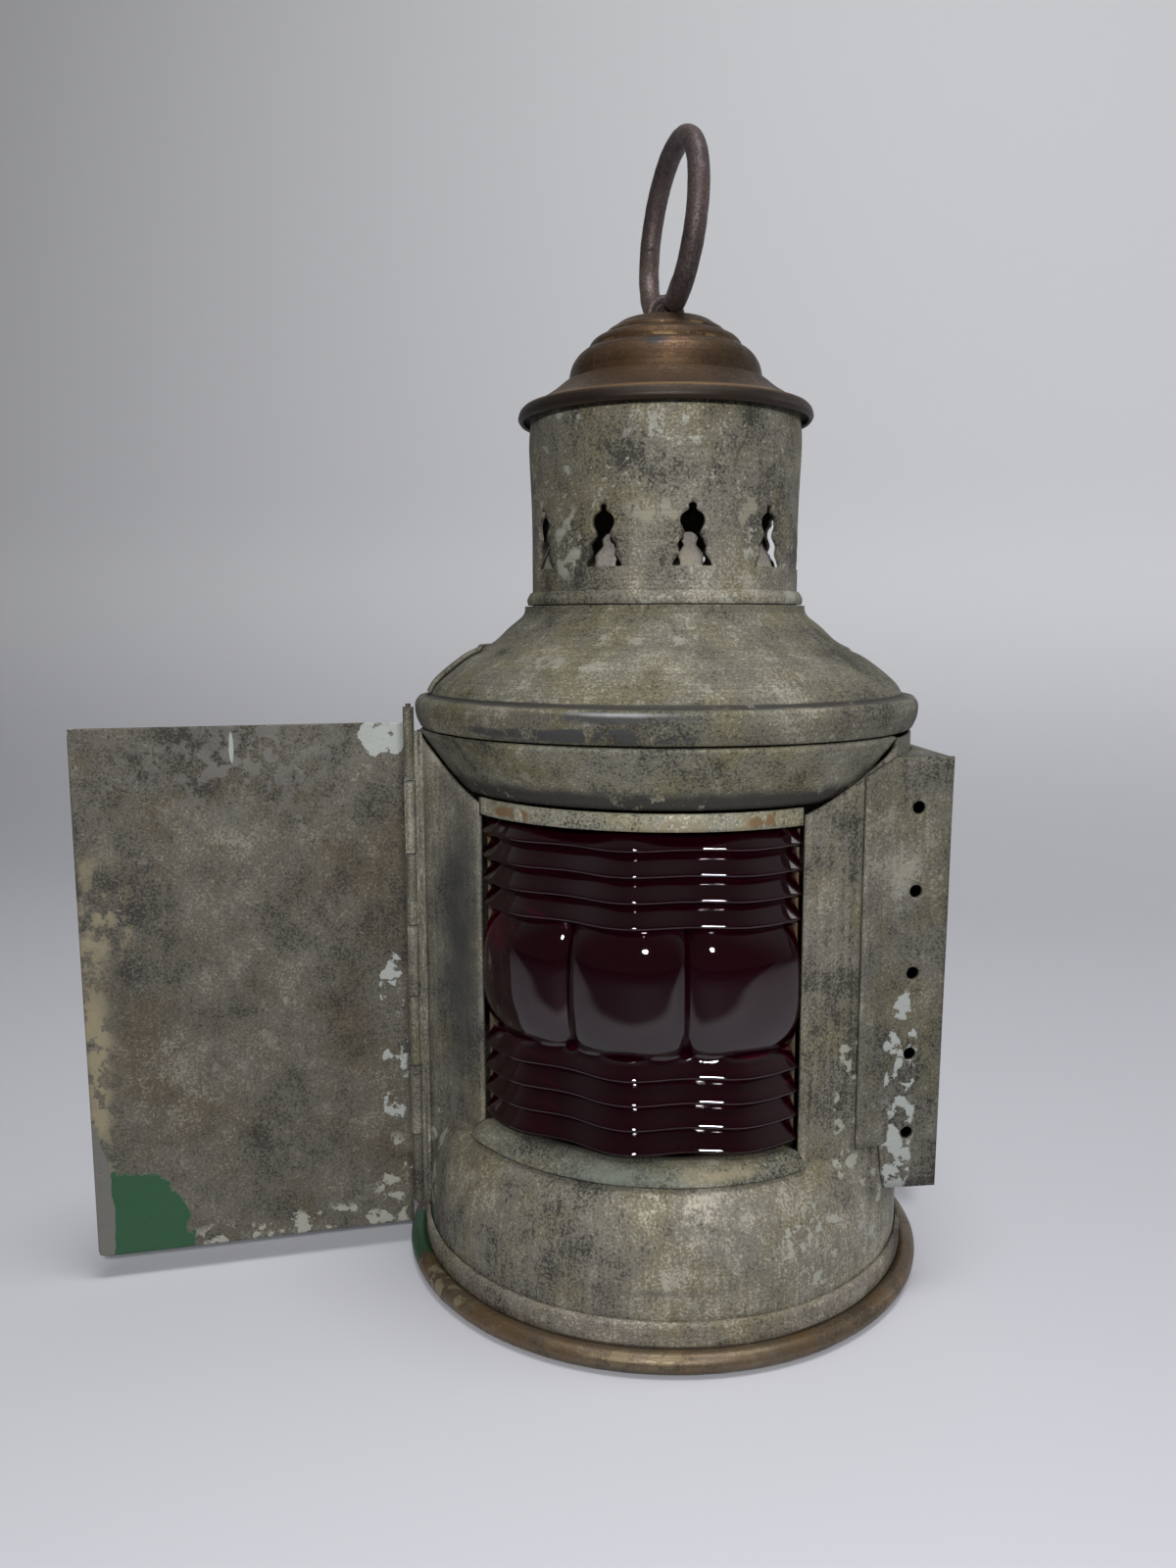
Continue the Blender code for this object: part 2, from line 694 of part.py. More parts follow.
def vent_outline(scale=1.0):
    """A spade with a round head: wide lobes low down, a waist, a round lobe on top."""
    half = VENT_WIDTH / 2 * scale
    tall = VENT_HEIGHT * scale
    side = [(0.86, 0.0), (1.0, 0.12), (0.72, 0.3), (0.36, 0.45), (0.66, 0.65), (0.5, 0.88)]
    right = [(half * x, tall * y) for x, y in side]
    left = [(-x, y) for x, y in reversed(right)]
    return right + [(0.0, tall)] + left


def vent_azimuths():
    return [VENT_AZIMUTH + 360.0 * index / VENT_COUNT for index in range(VENT_COUNT)]


def chimney_top():
    """The chimney ends just under the sloping inside of the cap."""
    points = cap_inside()
    for (low_r, low_z), (high_r, high_z) in zip(points, points[1:]):
        if high_r <= CHIMNEY_RADIUS <= low_r:
            share = (low_r - CHIMNEY_RADIUS) / (low_r - high_r)
            return low_z + (high_z - low_z) * share - GAP
    return CAP_RIM


def make_chimney():
    inner = CHIMNEY_RADIUS - SHEET
    top = chimney_top()
    low = CHIMNEY_FOOT + 8.0
    high = top - 6.0
    profile = [
        (CHIMNEY_RADIUS, top),
        (CHIMNEY_RADIUS + CHIMNEY_SWELL, high),
        (CHIMNEY_RADIUS, (low + high) / 2),
        (CHIMNEY_RADIUS, low),
        (CHIMNEY_RADIUS, CHIMNEY_FOOT),
        (inner, CHIMNEY_FOOT),
        (inner, top),
    ]
    chimney = lathe("chimney", worn_sheet("chimney"), profile, closed=True)
    holes = []
    tongues = []
    for azimuth in vent_azimuths():
        outward = polar(1.0, azimuth, 0.0)
        across = Vector((0, 0, 1)).cross(outward)
        facing = Matrix((across, Vector((0, 0, 1)), outward)).transposed()
        foot = polar(CHIMNEY_RADIUS - SHEET / 2, azimuth, VENT_FOOT)
        holes.append(flat_outline("vent", None, vent_outline(), SHEET * 6, at(foot, facing), CUTTERS))
        lean = facing @ Matrix.Rotation(math.radians(-TONGUE_LEAN), 3, "X")
        root = polar(CHIMNEY_RADIUS - SHEET / 2, azimuth, VENT_FOOT - SHEET)
        outline = vent_outline(TONGUE_SCALE)
        tongues.append(flat_outline("tongue", None, outline, SHEET * 0.6, at(root, lean), CUTTERS))
    apply_tool(chimney, joined_tool("vent_holes", holes), "DIFFERENCE")
    apply_tool(chimney, joined_tool("vent_tongues", tongues), "UNION")


def cap_outline():
    """The outside of the cap from the middle of its dished crown down to the rim."""
    dish = CAP_TOP - CAP_DISH
    rise = CAP_TOP - CAP_RIM
    crown = [(0.0, dish), (6.2, dish), (7.2, CAP_TOP - 0.5), (8.6, CAP_TOP), (10.3, CAP_TOP - 0.5)]
    tiers = [(0.338, 0.068), (0.35, 0.1), (0.417, 0.136), (0.486, 0.21), (0.553, 0.315), (0.612, 0.44)]
    tiers += [(0.653, 0.556), (0.687, 0.6), (0.737, 0.67), (0.803, 0.755), (0.885, 0.83), (0.96, 0.88)]
    tiers += [(1.0, 0.925), (1.0, 0.97), (0.98, 1.0)]
    return crown + [(CAP_RIM_RADIUS * r, CAP_TOP - rise * z) for r, z in tiers]


def cap_inside():
    """The inside of the cap from the rim up to the middle, with fewer points than the outside."""
    outside = cap_outline()
    keep = (19, 17, 15, 12, 9, 6)
    inside = [(outside[i][0] - SHEET, outside[i][1] - (SHEET if i < 19 else 0.0)) for i in keep]
    floor = CAP_TOP - CAP_DISH - SHEET
    return inside + [(outside[1][0] - SHEET, floor), (0.0, floor)]


def make_cap():
    surface = finish_of("cap", (0.19, 0.105, 0.05), 0.42, 0.9)
    lathe("cap", surface, cap_outline() + cap_inside(), 36)


# Carrying ring


def ring_along():
    """Direction of the ring's plane at its foot, which is the line that it swings about."""
    return polar(1.0, RING_AZIMUTH, 0.0)


def ring_foot():
    return Vector((0.0, 0.0, CAP_TOP - CAP_DISH + GAP + RING_WIRE + EYE_CLEARANCE))


def make_ring_eye():
    surface = finish_of("ring_eye", (0.16, 0.1, 0.07), 0.55, 0.7)
    reach = RING_WIRE + EYE_CLEARANCE + EYE_WIRE
    floor = CAP_TOP - CAP_DISH + GAP - ring_foot().z
    points = [(0.0, reach, floor)]
    points += [(0.0, y, z) for y, z in arc((0.0, 0.0), reach, 0.0, 180.0, 10)]
    points.append((0.0, -reach, floor))
    wire("ring_eye", surface, points, EYE_WIRE, frame_matrix(ring_foot(), ring_along(), (0, 0, 1)))


def make_carrying_ring():
    surface = finish_of("carrying_ring", (0.07, 0.035, 0.028), 0.6, 0.6)
    bpy.ops.mesh.primitive_torus_add(
        major_radius=RING_RADIUS * MM,
        minor_radius=RING_WIRE * MM,
        major_segments=36,
        minor_segments=8,
    )
    ring = bpy.context.object
    ring.name = "carrying_ring"
    ring.data.name = "carrying_ring"
    for owner in list(ring.users_collection):
        owner.objects.unlink(ring)
    LANTERN.objects.link(ring)
    ring.data.materials.append(surface)
    stand = Matrix.Translation((0, 0, RING_RADIUS * MM)) @ Matrix.Rotation(math.radians(90.0), 4, "X")
    ring.data.transform(stand)
    lean = Matrix.Rotation(math.radians(RING_LEAN), 4, "X")
    ring.matrix_world = frame_matrix(ring_foot(), ring_along(), (0, 0, 1)) @ lean
    smooth(ring)


# Draught box


def across(direction):
    """The level direction to the right of a direction, seen from above."""
    return Vector((direction.y, -direction.x, 0.0)).normalized()


def cheek_outward():
    return across(cheek_point(1.0) - cheek_point(0.0))


def face_plan():
    """Plan points of the pierced face's inner side: its bend and its free edge."""
    back = cheek_point(1.0)
    along = (back - cheek_point(0.0)).normalized()
    bend = back + cheek_outward() * GAP
    turned = Matrix.Rotation(math.radians(-FACE_BEND), 3, "Z") @ along
    return bend, bend + turned * FACE_WIDTH


def raised(point, height):
    return Vector((point.x, point.y, height))


def make_draught_face():
    bend, edge = face_plan()
    along = (edge - bend).normalized()
    outward = across(along)
    leg_shift = cheek_outward() * (GAP + SHEET)
    start = cheek_point(LEG_START) + leg_shift
    heel = cheek_point(LEG_HEEL) + leg_shift
    corner = bend + (cheek_outward() + outward).normalized() * SHEET
    edge = edge + outward * SHEET
    leg_top = cheek_top(start.length) - 4 * GAP
    heel_top = leg_top + (FACE_TOP - leg_top) * (LEG_HEEL - LEG_START) / (1.0 - LEG_START)
    leg_bottom = SKIRT_LIP_HEIGHT + 4 * GAP
    columns = [
        [raised(start, leg_top), raised(start, leg_bottom)],
        [raised(heel, heel_top), raised(heel, leg_bottom)],
        [raised(corner, FACE_TOP), raised(corner, FACE_BOTTOM)],
        [raised(edge, FACE_TOP), raised(edge - along * FACE_TAPER, FACE_BOTTOM)],
    ]
    face = sheet_from_columns("draught_face", worn_sheet("draught_face"), columns, SHEET)
    drills = []
    middle_height = (FACE_TOP + FACE_BOTTOM) / 2 + FACE_HOLE_LIFT
    for index in range(FACE_HOLES):
        height = middle_height + (index - (FACE_HOLES - 1) / 2) * FACE_HOLE_PITCH
        narrowing = FACE_TAPER * (FACE_TOP - height) / (FACE_TOP - FACE_BOTTOM)
        spot = raised(corner.lerp(edge - along * narrowing, FACE_HOLE_SHARE), height)
        placing = frame_matrix(spot, (0, 0, 1), outward)
        drills.append(cylinder("drill", None, FACE_HOLE_DIAMETER / 2, SHEET * 8, placing, 12, CUTTERS))
    apply_tool(face, joined_tool("face_drills", drills), "DIFFERENCE")


def make_draught_box():
    """The tray behind the pierced face: a back wall that runs tangent to the body, a top and a bottom."""
    bend, edge = face_plan()
    along = (edge - bend).normalized()
    outward = across(along)
    rim = edge - outward * GAP - along * FACE_TAPER
    inner_edge = bend - outward * GAP
    body_side = BODY_RADIUS + GAP
    touch = azimuth_of(rim) + math.degrees(math.acos(body_side / rim.length))
    start = azimuth_of(inner_edge) + math.degrees(4 * GAP / body_side)
    steps = 8
    wall = [polar(body_side, touch + (start - touch) * step / steps, 0.0) for step in range(steps + 1)]
    root = inner_edge.lerp(rim, 0.12)
    outline = [(p.x, p.y) for p in [root, rim] + wall]
    height = FACE_TOP - FACE_BOTTOM
    middle = (0.0, 0.0, (FACE_TOP + FACE_BOTTOM) / 2)
    tray = flat_outline("draught_box", worn_sheet("draught_box"), outline, height, at(middle))
    wall_shift = -polar(SHEET, touch, 0.0)
    hollow = [
        root + outward * SHEET * 2 - along * SHEET * 6,
        rim + outward * SHEET * 2 + wall_shift,
        rim + wall_shift,
        polar(body_side - SHEET * 2, touch, 0.0),
        polar(body_side - SHEET * 2, start, 0.0),
    ]
    cut = flat_outline("hollow", None, [(p.x, p.y) for p in hollow], height - 2 * SHEET, at(middle), CUTTERS)
    apply_tool(tray, joined_tool("draught_hollow", [cut]), "DIFFERENCE")


# Screen and hinge


def hinge_spot(height):
    return polar(HINGE_RADIUS, HINGE_AZIMUTH, height)


def knuckle_spans(own_turn):
    """Height spans of the knuckles that belong to the body (0) or to the screen (1)."""
    pitch = (HINGE_TOP - HINGE_BOTTOM) / KNUCKLE_COUNT
    spans = []
    for index in range(KNUCKLE_COUNT):
        if index % 2 == own_turn:
            low = HINGE_BOTTOM + index * pitch
            spans.append((low + GAP / 2, low + pitch - GAP / 2))
    return spans


def add_knuckles(item, name, spans, reach, direction, top_limit):
    """Give a plate a web and a tube blank for each span, then bore them for the pin."""
    webs = []
    tubes = []
    for low, high in spans:
        spot = at(hinge_spot((low + high) / 2))
        tubes.append(cylinder("tube", None, KNUCKLE, high - low, spot, 12, CUTTERS))
        web_top = min(high, top_limit)
        middle = hinge_spot((low + web_top) / 2) + direction * reach / 2
        placing = frame_matrix(middle, direction, (0, 0, 1))
        webs.append(box("web", None, (reach, KNUCKLE * 0.8, web_top - low), placing, CUTTERS))
    apply_tool(item, joined_tool(name + "_webs", webs), "UNION")
    apply_tool(item, joined_tool(name + "_tubes", tubes), "UNION")
    length = (HINGE_TOP - HINGE_BOTTOM) * 1.2
    middle = hinge_spot((HINGE_TOP + HINGE_BOTTOM) / 2)
    bore = cylinder("bore", None, HINGE_PIN + HINGE_CLEARANCE, length, at(middle), 12, CUTTERS)
    apply_tool(item, joined_tool(name + "_bore", [bore]), "DIFFERENCE")


def make_hinge_leaf():
    inward = -polar(1.0, HINGE_AZIMUTH, 0.0)
    backward = Vector((0, 0, 1)).cross(inward)
    plate_top = BODY_TOP - GAP
    plate_bottom = HINGE_BOTTOM
    radius = BODY_RADIUS + GAP + SHEET / 2
    middle = polar(radius, HINGE_AZIMUTH, (plate_top + plate_bottom) / 2)
    middle += backward * (LEAF_WIDTH / 2 - KNUCKLE)
    placing = frame_matrix(middle, inward, (0, 0, 1))
    leaf = box("hinge_leaf", worn_sheet("hinge_leaf"), (SHEET, LEAF_WIDTH, plate_top - plate_bottom), placing)
    reach = HINGE_RADIUS - radius
    add_knuckles(leaf, "leaf", knuckle_spans(0), reach, inward, plate_top)


def make_hinge_pin():
    surface = finish_of("hinge_pin", (0.14, 0.12, 0.1), 0.5, 0.8)
    length = HINGE_TOP - HINGE_BOTTOM + 1.2
    middle = hinge_spot((HINGE_TOP + HINGE_BOTTOM) / 2)
    pin = cylinder("hinge_pin", surface, HINGE_PIN, length, at(middle), 12)
    smooth(pin)


def make_screen_plate():
    outward = polar(1.0, SCREEN_AZIMUTH, 0.0)
    root = KNUCKLE + GAP * 1.5
    width = SCREEN_WIDTH - root
    axis_point = hinge_spot((SCREEN_TOP + SCREEN_BOTTOM) / 2)
    turned = frame_matrix(axis_point, outward, (0, 0, 1))
    height = SCREEN_TOP - SCREEN_BOTTOM
    plate = box("screen_plate", worn_sheet("screen_plate"), (width, SCREEN_THICKNESS, height), turned)
    plate.data.transform(Matrix.Translation((MM * (root + width / 2), 0, 0)))
    add_knuckles(plate, "screen", knuckle_spans(1), root + 1.0, outward, SCREEN_TOP)


# Oil lamp


def make_font():
    bottom = PAN_FLOOR + GAP
    neck_top = FONT_CROWN + FONT_NECK_HEIGHT
    inner_neck = FONT_NECK_RADIUS - SHEET
    shoulder = FONT_RADIUS * 0.82
    rise = FONT_TOP + (FONT_CROWN - FONT_TOP) * 0.6
    profile = [
        (0.0, bottom + SHEET),
        (FONT_RADIUS - SHEET, bottom + SHEET),
        (FONT_RADIUS - SHEET, FONT_TOP - SHEET * 0.5),
        (shoulder - SHEET * 0.3, rise - SHEET),
        (inner_neck, FONT_CROWN - SHEET),
        (inner_neck, neck_top),
        (FONT_NECK_RADIUS, neck_top),
        (FONT_NECK_RADIUS, FONT_CROWN),
        (shoulder, rise),
        (FONT_RADIUS, FONT_TOP),
        (FONT_RADIUS, bottom),
        (0.0, bottom),
    ]
    lathe("font_tank", brass("font_tank"), profile, FINE_STEPS)


def font_height(radius):
    """Height of the sloping top of the font at a radius."""
    shoulder = FONT_RADIUS * 0.82
    rise = FONT_TOP + (FONT_CROWN - FONT_TOP) * 0.6
    share = (radius - FONT_NECK_RADIUS) / (shoulder - FONT_NECK_RADIUS)
    return FONT_CROWN + (rise - FONT_CROWN) * share


def make_font_filler_cap():
    edge = 0.8
    profile = [
        (0.0, FILLER_HEIGHT),
        (FILLER_RADIUS - edge, FILLER_HEIGHT),
        (FILLER_RADIUS, FILLER_HEIGHT - edge),
        (FILLER_RADIUS, 0.0),
        (0.0, 0.0),
    ]
    filler = lathe("font_filler_cap", brass("font_filler_cap"), profile, 20)
    seat = font_height(FILLER_DISTANCE - FILLER_RADIUS) + GAP
    filler.location = polar(FILLER_DISTANCE, -90.0, seat) * MM


def burner_foot():
    return FONT_CROWN + FONT_NECK_HEIGHT + GAP


def tube_slot(name, margin, low, high):
    size = (TUBE_WIDTH + 2 * margin, TUBE_DEPTH + 2 * margin, high - low)
    return joined_tool(name, [box("slot", None, size, at((0, 0, (low + high) / 2)), CUTTERS)])


def shaft_place():
    """The shaft runs along X behind the wick tube, its spur just clear of the wick."""
    height = burner_foot() + SHEET + GAP + SPUR_RADIUS
    return Vector((0.0, WICK_DEPTH / 2 + GAP + SPUR_RADIUS, height))


def along_x(point):
    return at(point, Matrix.Rotation(math.radians(90.0), 3, "Y"))


def make_burner_body():
    low = burner_foot()
    high = low + BURNER_HEIGHT
    profile = [
        (0.0, low + SHEET),
        (BURNER_RADIUS - SHEET, low + SHEET),
        (BURNER_RADIUS - SHEET, high),
        (BURNER_RADIUS, high),
        (BURNER_RADIUS, low),
        (0.0, low),
    ]
    burner = lathe("burner_body", brass("burner_body"), profile, FINE_STEPS)
    apply_tool(burner, tube_slot("burner_slot", GAP, low - 5.0, low + 5.0), "DIFFERENCE")
    radius = SHAFT_RADIUS + SHAFT_CLEARANCE
    bearing = cylinder("bearing", None, radius, BURNER_RADIUS * 3, along_x(shaft_place()), 24, CUTTERS)
    apply_tool(burner, joined_tool("burner_bearings", [bearing]), "DIFFERENCE")


def crown_foot():
    return burner_foot() + BURNER_HEIGHT + GAP


def cone_radius():
    """The cone stands inside the flare of the crown."""
    flare = (CROWN_RADIUS - BURNER_RADIUS) * CONE_SEAT / CROWN_HEIGHT
    return BURNER_RADIUS - SHEET + flare - 2 * GAP


def make_burner_crown():
    low = crown_foot()
    high = low + CROWN_HEIGHT
    foot = BURNER_RADIUS - SHEET
    profile = [
        (CROWN_RADIUS - SHEET, high),
        (CROWN_RADIUS, high),
        (foot + SHEET, low),
        (foot, low),
    ]
    lathe("burner_crown", brass("burner_crown"), profile, FINE_STEPS, closed=True)


def make_burner_cone():
    low = crown_foot() + CONE_SEAT
    radius = cone_radius()
    steps = 3
    outer = []
    inner = []
    for step in range(steps + 1):
        turn = math.radians(90.0 * step / steps)
        outer.append((radius * math.sin(turn), low + CONE_HEIGHT * math.cos(turn)))
        inner.append(((radius - SHEET) * math.sin(turn), low + (CONE_HEIGHT - SHEET) * math.cos(turn)))
    cone = lathe("burner_cone", brass("burner_cone"), outer + inner[::-1], FINE_STEPS)
    top = low + CONE_HEIGHT
    apply_tool(cone, tube_slot("cone_slot", 0.0, top - 6.0, top + 6.0), "DIFFERENCE")


def make_wick_tube():
    height = TUBE_TOP - TUBE_BOTTOM
    middle = (0, 0, (TUBE_TOP + TUBE_BOTTOM) / 2)
    tube = box("wick_tube", brass("wick_tube"), (TUBE_WIDTH, TUBE_DEPTH, height), at(middle))
    inside = (WICK_WIDTH + 2 * GAP, WICK_DEPTH + 2 * GAP, height * 2)
    bore = box("tube_inside", None, inside, at(middle), CUTTERS)
    apply_tool(tube, joined_tool("tube_bore", [bore]), "DIFFERENCE")
    window = (SPUR_WIDTH + 4 * GAP, TUBE_DEPTH, SPUR_RADIUS * 2)
    place_window = at((0, TUBE_DEPTH / 2 + GAP, shaft_place().z))
    opening = box("window", None, window, place_window, CUTTERS)
    apply_tool(tube, joined_tool("tube_window", [opening]), "DIFFERENCE")


def make_wick():
    surface = finish_of("wick", (0.55, 0.5, 0.4), 0.95, 0.0)
    middle = (0, 0, (WICK_TOP + WICK_BOTTOM) / 2)
    box("wick", surface, (WICK_WIDTH, WICK_DEPTH, WICK_TOP - WICK_BOTTOM), at(middle))


def make_wick_shaft():
    left = -BURNER_RADIUS - 1.0
    right = KNOB_DISTANCE + KNOB_WIDTH + 1.0
    half = SPUR_WIDTH / 2
    profile = [
        (0.0, right),
        (SHAFT_RADIUS, right),
        (SHAFT_RADIUS, half),
        (SPUR_RADIUS, half),
        (SPUR_RADIUS, -half),
        (SHAFT_RADIUS, -half),
        (SHAFT_RADIUS, left),
        (0.0, left),
    ]
    shaft = lathe("wick_shaft", brass("wick_shaft"), profile, 24)
    shaft.matrix_world = along_x(shaft_place())


def make_wick_knob():
    bore = SHAFT_RADIUS + GAP
    edge = 0.6
    profile = [
        (bore, KNOB_WIDTH),
        (KNOB_RADIUS - edge, KNOB_WIDTH),
        (KNOB_RADIUS, KNOB_WIDTH - edge),
        (KNOB_RADIUS, edge),
        (KNOB_RADIUS - edge, 0.0),
        (bore, 0.0),
    ]
    knob = lathe("wick_knob", brass("wick_knob"), profile, 24, closed=True)
    knob.matrix_world = along_x(shaft_place() + Vector((KNOB_DISTANCE, 0, 0)))


def carry_on_base():
    """The lamp comes out with the base pan, which turns about the upright axis through the origin."""
    axis = bpy.data.objects.new("base_axis", None)
    LANTERN.objects.link(axis)
    lamp = ["font_tank", "font_filler_cap", "burner_body", "burner_crown", "burner_cone", "wick_tube"]
    for name in ["base_pan"] + lamp:
        bpy.data.objects[name].parent = axis


make_base_pan()
make_base_keeper()
make_foot_hoop()
make_body_shell()
make_lens()
make_lens_sill()
make_lens_top_band()
make_lens_strips()
make_front_visor()
make_hood()
make_hood_patch()
make_chimney_collar()
make_chimney()
make_cap()
make_ring_eye()
make_carrying_ring()
make_draught_face()
make_draught_box()
make_hinge_leaf()
make_hinge_pin()
make_screen_plate()
make_font()
make_font_filler_cap()
make_burner_body()
make_burner_crown()
make_burner_cone()
make_wick_tube()
make_wick()
make_wick_shaft()
make_wick_knob()
carry_on_base()
bpy.context.view_layer.update()
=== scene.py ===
# %% [markdown]
# # A ship's side light
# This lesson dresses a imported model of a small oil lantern: worn sheet metal, a ruby pressed-glass
# lens, a hinged screen on one side and a pierced draught face on the other.
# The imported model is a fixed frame. Each new piece is made in the frame's own metres, rides on one
# of its bodies and stands for the plain solid in the same place.

# %% Load the frame
import math

import bmesh
import bpy
from mathutils import Matrix, Vector, noise


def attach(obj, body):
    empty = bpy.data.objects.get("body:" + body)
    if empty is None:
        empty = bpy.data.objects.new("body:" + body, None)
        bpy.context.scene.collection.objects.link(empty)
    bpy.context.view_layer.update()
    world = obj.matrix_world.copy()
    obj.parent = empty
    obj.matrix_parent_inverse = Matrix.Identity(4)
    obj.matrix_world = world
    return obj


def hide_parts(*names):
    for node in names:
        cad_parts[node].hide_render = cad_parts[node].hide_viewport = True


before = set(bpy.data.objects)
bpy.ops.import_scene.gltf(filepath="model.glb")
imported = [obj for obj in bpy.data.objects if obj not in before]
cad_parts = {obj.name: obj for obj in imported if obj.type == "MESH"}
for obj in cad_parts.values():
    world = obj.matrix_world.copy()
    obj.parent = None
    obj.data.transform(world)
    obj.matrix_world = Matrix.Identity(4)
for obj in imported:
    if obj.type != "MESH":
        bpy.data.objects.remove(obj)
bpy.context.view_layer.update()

MM = 0.001
UP = Vector((0.0, 0.0, 1.0))

# %% [markdown]
# ## Points on a round lantern
# Almost every piece is a sheet bent round the upright axis, so points are given by a radius, an
# azimuth and a height. Azimuth 0 looks out through the lens, along -Y, and grows towards +X.
# Sizes are written in millimetres and turned into metres by the factor MM.

# %% Points and lines
def polar(radius, azimuth, height):
    """A point in metres from a radius and a height in millimetres and an azimuth in degrees."""
    turn = math.radians(azimuth)
    return Vector((radius * math.sin(turn), -radius * math.cos(turn), height)) * MM


def between(start, end, steps):
    """Evenly spaced values from start to end, both included."""
    return [start + (end - start) * step / steps for step in range(steps + 1)]


def spline(p, q, r, s, share):
    """A value a share of the way from q to r, steered by the values before and after (Catmull-Rom)."""
    bend = (2 * p - 5 * q + 4 * r - s) * share ** 2
    swing = (3 * q - p - 3 * r + s) * share ** 3
    return 0.5 * (2 * q + (r - p) * share + bend + swing)


def flowing(points, spans=4):
    """A smooth line through points of (radius, height)."""
    ends = [points[0]] + list(points) + [points[-1]]
    line = []
    for a, b, c, d in zip(ends, ends[1:], ends[2:], ends[3:]):
        for step in range(spans):
            line.append(tuple(spline(p, q, r, s, step / spans) for p, q, r, s in zip(a, b, c, d)))
    return line + [tuple(points[-1])]


def arc(centre, radius, start, end, steps):
    """Points on an arc in a profile plane, angles in degrees."""
    turns = [math.radians(angle) for angle in between(start, end, steps)]
    return [(centre[0] + radius * math.cos(turn), centre[1] + radius * math.sin(turn)) for turn in turns]


print("a point on the lens:", tuple(round(value, 4) for value in polar(47.0, 0.0, 72.7)))

# %% [markdown]
# ## Sheet that has been worked by hand
# No sheet on an old lantern is true: it waves a little and carries dents. One function moves any
# point of the shell in or out, so neighbouring pieces move together and never cut into each other.
# Bump in a material could fake this, but then outlines would stay perfect.

# %% Wobble and dents
WAVE = 0.13        # how far the sheet waves, in millimetres
DENTS = [          # where, how wide and how deep, in millimetres
    (polar(57.4, -6.0, 128.6), 8.0, 0.55),
    (polar(57.4, 24.0, 129.4), 11.0, 0.45),
    (polar(57.4, -44.0, 128.0), 7.0, 0.4),
    (polar(30.2, 3.0, 183.0), 5.0, 0.5),
    (polar(30.2, -38.0, 176.5), 6.0, 0.4),
    (polar(30.2, 150.0, 180.0), 9.0, 0.6),
    (polar(42.0, 20.0, 142.0), 10.0, 0.5),
    (polar(44.0, -150.0, 141.0), 12.0, 0.7),
    (polar(56.0, 12.0, 18.0), 14.0, 0.4),
    (polar(56.0, 140.0, 80.0), 18.0, 0.7),
    (polar(56.0, -160.0, 45.0), 15.0, 0.6),
]


def worked(point):
    """A point of the shell after a long working life."""
    outward = Vector((point.x, point.y, 0.0)).normalized()
    push = WAVE * noise.noise(point * 30.0) + WAVE * 0.45 * noise.noise(point * 95.0)
    for centre, reach, depth in DENTS:
        push -= depth * math.exp(-((point - centre).length / (reach * MM)) ** 2)
    return point + outward * push * MM


print("dents:", len(DENTS))

# %% [markdown]
# ## From points to pieces
# Every mesh is built as a bmesh and handed over when it is done. A piece rides on a body of the frame
# and may stand for one of its solids. One function says both, so that no piece is left without them.

# %% Pieces
def mesh_from(build, name):
    """Turn a finished bmesh into a mesh."""
    mesh = bpy.data.meshes.new(name)
    build.to_mesh(mesh)
    build.free()
    return mesh


def added(name, data):
    """A new object in the scene that holds a mesh, a lamp or a camera."""
    item = bpy.data.objects.new(name, data)
    bpy.context.scene.collection.objects.link(item)
    return item


def new_piece(name, build, body, replaced=(), sharp=35.0):
    """Put a finished bmesh into the scene as a piece that rides on a body of the frame."""
    bmesh.ops.remove_doubles(build, verts=build.verts, dist=1e-6)
    mesh = mesh_from(build, name)
    mesh.shade_smooth()
    mesh.set_sharp_from_angle(angle=math.radians(sharp))
    item = added(name, mesh)
    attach(item, body)
    if replaced:
        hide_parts(*replaced)
    return item


print("piece makers ready: mesh_from, added, new_piece")

# %% [markdown]
# ## Sheets and rings
# A thin sheet is a grid of points given a thickness by Solidify; a thick ring is a closed profile
# turned about the axis. Both could come from Screw modifiers, but a grid lets each point be moved
# by the dents first.

# %% Sheets and rings
SHEET = 0.8        # the usual thickness of the sheet, in millimetres


def weave(build, columns, round_columns=False, round_rows=False):
    """Join columns of points with faces that look out.

    Columns run from the top down and step anticlockwise. Columns of unlike lengths are joined from
    the bottom up, over the rows that both have.
    """
    grid = [[build.verts.new(point) for point in column] for column in columns]
    pairs = list(zip(grid, grid[1:]))
    if round_columns:
        pairs.append((grid[-1], grid[0]))
    for left, right in pairs:
        for row in range(1, min(len(left), len(right))):
            build.faces.new((left[-row], right[-row], right[-row - 1], left[-row - 1]))
        if round_rows:
            build.faces.new((left[0], right[0], right[-1], left[-1]))
    return grid


def close_ends(build, grid):
    """Cap the first and the last row of a closed wall and make every face look out."""
    build.faces.new([column[0] for column in grid])
    build.faces.new([column[-1] for column in reversed(grid)])
    bmesh.ops.recalc_face_normals(build, faces=build.faces)


def thicken(item, thickness, offset=-1.0, even=False):
    """Give a sheet its thickness in millimetres, inwards or to both sides."""
    wall = item.modifiers.new("Wall", "SOLIDIFY")
    wall.thickness = thickness * MM
    wall.offset = offset
    wall.use_even_offset = even


def sheet(name, columns, replaced=(), thickness=SHEET, closed=False):
    """A thin sheet whose outer face runs through the columns."""
    build = bmesh.new()
    weave(build, columns, round_columns=closed)
    item = new_piece(name, build, "lantern", replaced)
    thicken(item, thickness, even=True)
    return item


def turned_columns(profile, steps, start=0.0, sweep=360.0, shape=worked):
    """Columns of a profile of (radius, height) points turned about the upright axis."""
    count = steps if sweep == 360.0 else steps + 1
    return [
        [shape(polar(r, start + sweep * step / steps, z)) for r, z in profile]
        for step in range(count)
    ]


